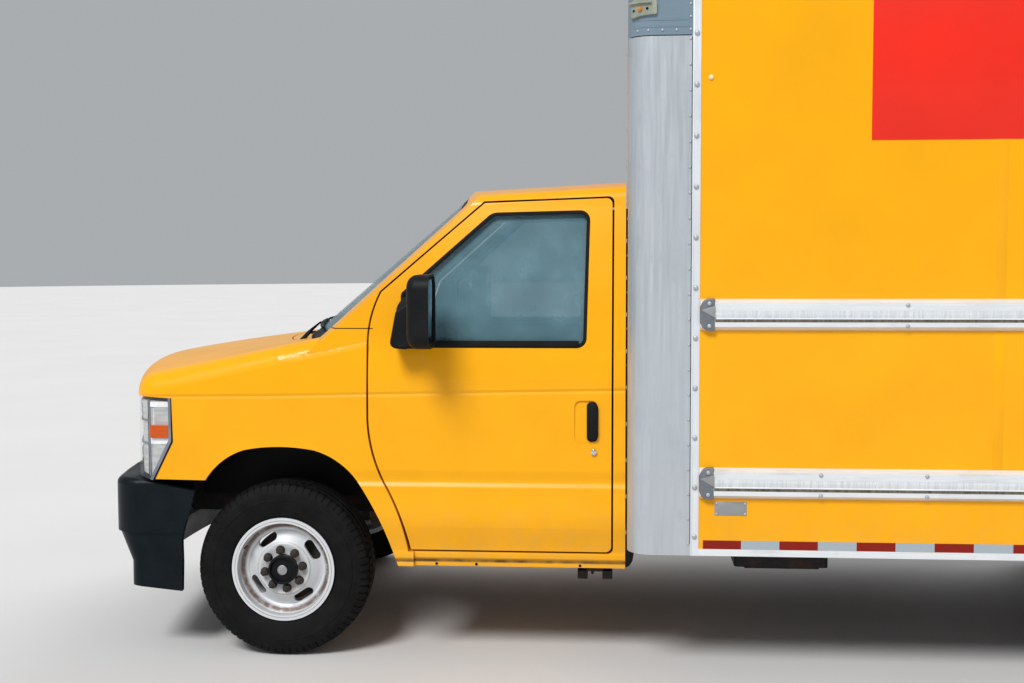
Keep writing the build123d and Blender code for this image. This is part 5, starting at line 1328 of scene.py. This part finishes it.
# Each pad: its outline, half its width, its rounding, how far it may swell, and its seams with their width,
# depth and the way they face
PADS = {
    "cushion": ([(776, 900), (770, 975), (806, 1000), (1160, 982), (1175, 900)], 243, 0.022, 0.014,
                [(1, -0.575, 0, -FAR, FAR), (1, -0.285, 0, -FAR, FAR)]
                + [(0, at(x, 0, 0).x, 1, -0.575, -0.285) for x in (880, 980, 1080)],
                0.012, 0.007, Vector((0, 0, 1))),
    "backrest": ([(1178, 985), (1290, 1585), (1318, 1608), (1352, 1600), (1362, 1566), (1290, 960),
                  (1215, 925)],
                 238, 0.020, 0.014,
                 [(1, -0.57, 2, 0, FAR), (1, -0.29, 2, 0, FAR)]
                 + [(2, z, 1, -0.57, -0.29) for z in (1.12, 1.25, 1.38)],
                 0.012, 0.007, Vector((-1, 0, 0.2)).normalized()),
    "headrest": ([(1308, 1662), (1320, 1804), (1346, 1818), (1380, 1812), (1384, 1668), (1350, 1652)],
                 118, 0.020, 0.010, [(1, -0.505, 2, 0, FAR), (1, -0.355, 2, 0, FAR)],
                 0.010, 0.005, Vector((-1, 0, 0))),
}
for name, (outline, half, rounding, cap, seams, width, depth, facing) in PADS.items():
    pad = side_slab(outline, None, 2 * half * MM, rounding, 3, 30, y=SEAT_Y - half)
    swell(pad, cap)
    draw_seams(pad, seams, width, depth, facing)
    twin = copy_of(pad, Matrix.Translation((0, -2 * SEAT_Y * MM, 0)))
    for piece, side_name in ((pad, "left"), (twin, "right")):
        hang(piece, "seat_" + name + "_" + side_name, "seat_fabric", smooth=60)
        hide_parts("seats")

# %% [markdown]
# Under the pads there are hard parts: a moulded shield on the outer side with the recline lever, two posts
# for the headrest, a buckle on its stalk, and the belt that runs from the floor up to a loop on the pillar.

# %% Seat hardware and belts
SHIELD = [(790, 885), (1290, 885), (1300, 985), (1180, 985), (800, 960)]
hard = []
belts = []
for side_name, side in SIDES:
    outer, inner = side * 690, side * 168
    hard += [side_slab(SHIELD, 20, side * 0.016, 0.005, 2, 30, y=outer),
             bar((1120, outer + side * 20, 925), (1240, outer + side * 24, 960), 0.012, 0.026, 0.004, 0.8),
             *(bar((1345, y, 1590), (1352, y, 1672), 0.012, 0.012, 0.0045, segments=3)
               for y in (side * 430 - 60, side * 430 + 60)),
             bar((1230, side * 172, 890), (1215, inner, 1010), 0.012, 0.035, 0.003, 0.9),
             block((1196, inner - 12, 1000), (1236, inner + 12, 1064), 0.006)]
    belts += [bar((1388, side * 905, 790), (1396, side * 862, 1640), 0.047, 0.0014),
              bar((1392, side * 872, 1640), (1394, side * 858, 1668), 0.070, 0.020, 0.006),
              block((1352, side * 880 - 30, 760), (1410, side * 880 + 30, 850), 0.008)]
hang(hard, "seat_hardware", "black_plastic")
hang(belts, "seat_belts", "rubber")

# %% [markdown]
# The dashboard's block gets what a driver sees: a hooded cluster with two dials, a centre panel with a radio,
# knobs and a screen, air vents with slats at both ends and in the middle, and the lid of the glove box.

# %% Dashboard
BINNACLE = [(395, 1325), (470, 1352), (545, 1346), (549, 1330), (528, 1256), (500, 1230), (430, 1230)]


def facing_rear(radius, thickness, place, rounding, vertices, tilt=0):
    """A round plate that faces rearwards, tilted back by some degrees."""
    return moved(disc(radius, thickness, (0, 0, 0), -1, rounding, vertices), Matrix.Translation(at(*place)),
                 Matrix.Rotation(math.radians(tilt), 4, "Y"), Matrix.Rotation(math.pi / 2, 4, "Z"))


soft = [side_slab(BINNACLE, [8, 20, 6, 6, 10, 10, 10], 0.37, 0.012, 3, y=-615, steps=4),
        block((470, -165, 1040), (531, 165, 1296), 0.010), block((430, 330, 1072), (526, 690, 1200), 0.012)]
dark = [facing_rear(0.052, 0.004, (536, y, 1290), 0.0015, 40, 12) for y in (-505, -355)]
dark += [facing_rear(0.021, 0.018, (531, y, 1135), 0.003, 32) for y in (-60, 0, 60)]
dark += [block((534, y - 11, 1196), (539, y + 11, 1208), 0.001) for y in (-75, -45, -15, 15, 45, 75)]
dark += [block((528, -95, 1190), (536, 95, 1262), 0.003), block((528, -95, 1050), (534, 95, 1085), 0.003),
         block((524, 480, 1178), (534, 540, 1192), 0.003)]
for y, z in ((-810, 1205), (810, 1205), (-215, 1215), (215, 1215)):
    soft.append(block((470, y - 72, z - 42), (530, y + 72, z + 42), 0.010))
    dark += [block((524, y - 60, z + lift - 2), (535, y + 60, z + lift + 2), 0.001)
             for lift in range(-28, 29, 14)]
hang(soft, "dashboard_panels", "interior_plastic")
hang(dark, "dashboard_dark_parts", "black_plastic")
hang([facing_rear(0.057, 0.0025, (535, y, 1290), 0.001, 40, 12) for y in (-505, -355)], "dial_rims", "chrome")

# %% [markdown]
# The column carries a cover, the gear lever on its right and the turn lever on its left. Two pedals hang
# below. Sun visors fold up against the roof just behind the glass.

# %% Column, pedals and visors
wheel_centre = at(660, -430, 1250)
column_way = Vector((0.866, 0, 0.5))
VISOR = [(812, -200), (968, -200), (968, 200), (812, 200)]
parts = [bar(wheel_centre - column_way * 0.16, wheel_centre - column_way * 0.035, 0.086, 0.090, 0.014,
             0.9, 3),
         bar((560, -385, 1205), (640, -240, 1330), 0.010, 0.010, 0.004, 0.9),
         bar((636, -247, 1324), (652, -218, 1349), 0.026, 0.026, 0.008, 0.8),
         bar((575, -475, 1215), (620, -640, 1258), 0.012, 0.012, 0.004, 1.3)]
for y, half in ((-470, 50), (-330, 27.5)):
    parts += [bar((400, y, 990), (468, y, 850), 0.012, 0.020),
              block((460, y - half, 810), (478, y + half, 872), 0.006)]
hang(parts, "column_and_pedals", "black_plastic")
visors = []
for side_name, side in SIDES:
    visor = slab([at(x, side * 430 + y, 0) for x, y in rounded_outline(VISOR, 30)], (0, 0, 0.018))
    bevel(visor, 0.006, 3, 30)
    for vertex in visor.data.vertices:
        vertex.co.z += 1.862 + (vertex.co.x - at(812, 0, 0).x) * 0.06
    visors.append(visor)
hang(visors, "sun_visors", "headliner")

# %% [markdown]
# The inner side of each door is a pressed panel with a plastic trim sheet on it. The sheet carries an armrest
# with a pull, a pocket, the round cover of a loudspeaker and the small lever that opens the door.

# %% Door trim
TRIM = [(600, 520), (1355, 520), (1355, 1268), (440, 1268), (440, 900), (500, 760)]
for side_name, side in SIDES:
    door = "door_" + side_name
    trim = skin_slab(side, TRIM, [30, 30, 30, 30, 60, 60], 0.006, -0.0605, 0.002, 1, slices=(560, 1260, 60))
    arm = skin_slab(side, [(690, 1052), (1240, 1052), (1240, 1112), (690, 1128)], [20, 20, 18, 18],
                    0.058, -0.118, 0.012, 3)
    pocket = skin_slab(side, [(760, 560), (1300, 560), (1320, 690), (740, 700)], 20, 0.034, -0.094, 0.008, 3)
    hang([trim, arm, pocket], "door_trim_" + side_name, "interior_plastic", door)
    lever_y, pull_y = cab_side(1.16) / MM, side * (cab_side(1.13) / MM - 84)
    speaker = disc(0.078, 0.010, (at(640, 0, 0).x, side * (cab_side(0.65) - 0.0605), 0.65), -side, 0.004)
    lever = block((560, side * (lever_y - 74), 1148), (650, side * (lever_y - 62), 1176), 0.004)
    pull = bar((900, pull_y, 1150), (1060, pull_y, 1150), 0.018, 0.022, 0.006)
    hang([speaker, lever, pull], "door_trim_fittings_" + side_name, "black_plastic", door)

# %% [markdown]
# The rear shows how such a truck is used. The roll-up door is made of flat panels with a latch at the bottom
# and a pull strap, grab handles stand on both posts, and the bumper's top is a step with raised tread. The
# number plate stays blank, with a small lamp above it.

# %% Door latch, strap and grab handles
REAR = 6437
# The latch: its plate, lever, hasp and bolt
steel = [block((6400, -95, 905), (6405, 95, 1045), 0.002), block((6405, -18, 935), (6419, 18, 1030), 0.004),
         block((6404, -70, 950), (6413, -44, 1000), 0.003), block((6404, -8, 866), (6414, 8, 940), 0.003)]
steel += spread(rail_bolt, [at(6405, y, z) for y in (-82, 82) for z in (918, 1032)], REARWARDS)
for side_name, side in SIDES:
    y = side * 1142
    steel.append(bar((6474, y, 1060), (6474, y, 1560), 0.022, 0.022, 0.010, segments=4))
    for z in (1072, 1548):
        steel += [bar((REAR, y, z), (6476, y, z), 0.020, 0.020, 0.009, segments=3),
                  block((REAR, y - 24, z - 32), (6442, y + 24, z + 32), 0.002)]
hang(steel, "rear_door_latch_and_handles", "galvanised")
dark = [block((6392, -1058, z - 4), (6394, 1058, z + 4), 0.0008) for z in steps_between(1110, 2610, 250)]
dark += [bar((6403, 210, 905), (6406, 214, 1330), 0.032, 0.0022, cuts=4),
         block((6401.5, 186, 1310), (6408, 240, 1350), 0.002)]
hang(dark, "rear_door_joints_and_strap", "rubber")

# %% [markdown]
# The tail lamps are held in rubber rims. The number plate is a blank sheet with a pressed border, and its
# small lamp throws light down on it. Short raised bars, turned to and fro, keep a boot from slipping on the
# step, and rubber flaps hang behind the twin wheels.

# %% Number plate, lamp rims, tread and flaps
PLATE_Y, PLATE_Z = -300, 800
PLATE_HOLE = 88.9
number_plate = block((REAR + 0.4, PLATE_Y - 152, PLATE_Z - 136), (REAR + 1.8, PLATE_Y + 152, PLATE_Z + 16),
                     0.0006)
pick_faces(number_plate, lambda face: face.normal.x > 0.9 and face.area > 0.01)
with editing(number_plate, False):
    bpy.ops.mesh.inset(thickness=0.006, depth=0)
    bpy.ops.mesh.inset(thickness=0.003, depth=0.0012)
hang(number_plate, "blank_number_plate", "white_paint")
plate_lamp = block((REAR, PLATE_Y - 32, PLATE_Z + 22), (REAR + 34, PLATE_Y + 32, PLATE_Z + 42), 0.005)
screws = spread(rivet, [at(REAR + 1.8, PLATE_Y + y, PLATE_Z) for y in (-PLATE_HOLE, PLATE_HOLE)], REARWARDS)
hang([plate_lamp] + screws, "plate_lamp", "black_plastic")
rims = [slab([at(REAR, y, z) for y, z in rounded_outline(rectangle(middle - 84, middle + 84, 724, 826), 32)],
             (0.010, 0, 0)) for middle in (-1010, -835, 835, 1010)]
hang([bevel(rim, 0.004, 3, 40) for rim in rims], "tail_lamp_rims", "rubber")
tread = []
for row in range(3):
    for number in range(24):
        cleat = block(Vector((-0.005, -0.024, -0.001)), Vector((0.005, 0.024, 0.0015)), 0.001)
        tread.append(moved(cleat, Matrix.Translation(at(6484 + row * 44, -1035 + number * 90, 551)),
                           Matrix.Rotation(math.radians(45 if (number + row) % 2 else -45), 4, "Z")))
hang(tread, "step_tread", "galvanised")
flaps = []
for side_name, side in SIDES:
    y = side * 905
    flaps += [block((4478, y - 235, 195), (4486, y + 235, 700), 0.003),
              block((4474, y - 240, 668), (4490, y + 240, 704), 0.002)]
hang(flaps, "mud_flaps", "rubber")

# %% [markdown]
# Below the floor, U-bolts clamp the rear springs to the axle, telescopic dampers stand beside the springs,
# and a brake line with its clips follows the left rail. They are all small next to the frame and easy to
# miss, but a look under the skirt shows them.

# %% U-bolts, dampers and lines
under = []
for side_name, side in SIDES:
    for x in (WHEELBASE - 70, WHEELBASE + 70):
        for y in (side * 560 - 44, side * 560 + 44):
            under.append(bar((x, y, 296), (x, y, 520), 0.016, 0.016, 0.007))
    for top, foot in ((at(85, side * 500, 660), at(78, side * 590, 405)),
                      (at(4250, side * 500, 650), at(4110, side * 520, 360))):
        under += [bar(foot, (foot + top) / 2, 0.056, 0.056, 0.026, segments=4),
                  bar((foot + top) / 2, top, 0.046, 0.046, 0.021, segments=4)]
hang(under, "dampers_and_u_bolts", "black_paint")
lines = []
for x in range(600, 600 + 9 * 420, 420):
    lines += [bar((x, -437, 600), (x + 422, -437, 600), 0.008, 0.008, 0.003),
              block((x + 12, -444, 588), (x + 34, -431, 612), 0.002)]
hang(lines, "brake_line", "galvanised")

# %% [markdown]
# Under the open hood stand a radiator with its fan and shroud, a battery, a filter box with its duct, two
# bottles with caps, and a cover on the engine. The hood's own underside carries pressed braces, made from
# strips of a copy of the hood that stand a little lower than its skin.

# %% Engine bay
FAN_Z = 850
FAN_BLADES = 9
cores = [block((-662, -370, 640), (-618, 370, 1060), 0.006)]
cores += [block((-664.5, -350, z), (-661, 350, z + 3)) for z in steps_between(655, 1045, 13)]
# Both tanks of the radiator and the beam above it, then battery, filter box, engine cover and duct
black = [block((-668, -385, 1045), (-612, 385, 1090), 0.012),
         block((-668, -385, 600), (-612, 385, 645), 0.012),
         block((-690, -700, 1062), (-640, 700, 1096), 0.008),
         block((-450, -740, 921), (-250, -570, 1090), 0.008),
         block((-470, 565, 921), (-180, 790, 1085), 0.025),
         block((-400, -235, 1080.5), (120, 235, 1122), 0.022),
         bar((-330, 600, 1060), (-250, 190, 1110), 0.095, 0.080, 0.030, 0.9, 4),
         facing_rear(0.235, 0.09, (-616, 0, FAN_Z), 0.02, 48),
         facing_rear(0.065, 0.05, (-532, 0, FAN_Z), 0.008, 32)]
black += [block((-360, y - 8, 1119), (80, y + 8, 1128), 0.004) for y in (-150, -75, 0, 75, 150)]
black += [cylinder(0.026, 0.024, at(*place), (0, 0, 0), 0.005, 2, 24, 30)
          for place in ((-50, 630, 1068), (195, -425, 1083), (-330, -60, 1120))]
for number in range(FAN_BLADES):
    blade = block(Vector((-0.006, -0.035, 0.05)), Vector((0.006, 0.035, 0.215)), 0.004)
    black.append(moved(blade, Matrix.Translation(at(-508, 0, FAN_Z)),
                       Matrix.Rotation(2 * math.pi * number / FAN_BLADES, 4, "X"),
                       Matrix.Rotation(math.radians(32), 4, "Z")))
hang(cores, "radiator_core", "roof_aluminium")
hang(black, "engine_bay_parts", "black_plastic")
hang([block((-120, 570, 921), (20, 690, 1070), 0.025), block((150, -470, 1010), (240, -380, 1085), 0.015)],
     "fluid_bottles", "bottle")
hang([bar((-438, -600, 1098), (-262, -600, 1098), 0.012, 0.012)]
     + [block((x - 12, -640, 1088), (x + 12, -612, 1106), 0.004) for x in (-420, -280)], "battery_terminals",
     "bare_steel")
# Each brace: the planes that cut it out of the hood, as axis, place and the way that falls off
BRACES = (((0, -640, -1), (0, -560, 1)), ((0, -150, -1), (0, -70, 1)),
          ((1, 30, 1), (1, -30, -1), (0, -640, -1), (0, -70, 1)),
          ((1, 620, 1), (1, 550, -1), (0, -600, -1), (0, -70, 1)),
          ((1, -550, 1), (1, -620, -1), (0, -600, -1), (0, -70, 1)))
braces = []
for number, cuts in enumerate(BRACES):
    strip = cut_copy("hood", [plane(*cut) for cut in cuts + ((1, 660, 1), (1, -660, -1))])
    braces.append(moved(strip, Matrix.Translation((0, 0, -0.012 - 0.0012 * number))))
hang(braces, "hood_braces", "yellow_paint", "hood")
for pattern in (rivet, big_rivet, rail_bolt):
    bpy.data.objects.remove(pattern)
print("rear, underbody and engine bay are in place")

# %% [markdown]
# The truck stands on a pale floor under one large soft lamp from the driver's side, a weaker one from the
# other side and an even pale world. The camera stands where the photographer stood, a little ahead of the
# cab's middle and at eye height, so that the front half of the truck fills the frame.

# %% Floor, light and camera
bpy.ops.mesh.primitive_circle_add(vertices=96, radius=60, fill_type="NGON", location=(0, 0, -0.001))
floor = bpy.context.object
floor.name = "studio_floor"
f = Finish("studio_floor")
f.shade(colour=f.mix(f.ramp(f.noise(0.6, 3.0), 0.3, 0.7), (0.66, 0.65, 0.64), (0.69, 0.68, 0.67)), rough=0.85)
floor.data.materials.append(material_of["studio_floor"])

world = bpy.data.worlds.new("studio")
scene.world = world
world.use_nodes = True
world.node_tree.nodes["Background"].inputs["Color"].default_value = (0.80, 0.83, 0.86, 1)
world.node_tree.nodes["Background"].inputs["Strength"].default_value = 0.5


def add_sun(name, strength, azimuth, elevation, width):
    """A far soft lamp. azimuth turns it from -Y towards +X, elevation is above the horizon, in degrees."""
    data = bpy.data.lights.new(name, "SUN")
    data.energy = strength
    data.angle = math.radians(width)
    lamp = bpy.data.objects.new(name, data)
    scene.collection.objects.link(lamp)
    turn, rise = math.radians(azimuth), math.radians(elevation)
    towards = Vector((math.sin(turn) * math.cos(rise), -math.cos(turn) * math.cos(rise), math.sin(rise)))
    lamp.rotation_euler = towards.to_track_quat("Z", "Y").to_euler()


add_sun("key", 2.6, -20, 46, 20)
add_sun("fill", 1.0, 150, 40, 40)

camera_data = bpy.data.cameras.new("photo_camera")
camera_data.sensor_width = 36
camera_data.lens = 48.5
camera_data.clip_end = 200
camera = bpy.data.objects.new("photo_camera", camera_data)
scene.collection.objects.link(camera)
camera.location = (-1.4356, -6.6599, 1.7403)
yaw, pitch, roll = math.radians(4.74), math.radians(-3.953), math.radians(-0.168)
camera.rotation_euler = (Matrix.Rotation(yaw, 4, "Z") @ Matrix.Rotation(math.pi / 2 + pitch, 4, "X")
                         @ Matrix.Rotation(roll, 4, "Z")).to_euler()
scene.camera = camera
scene.view_settings.view_transform = "Standard"
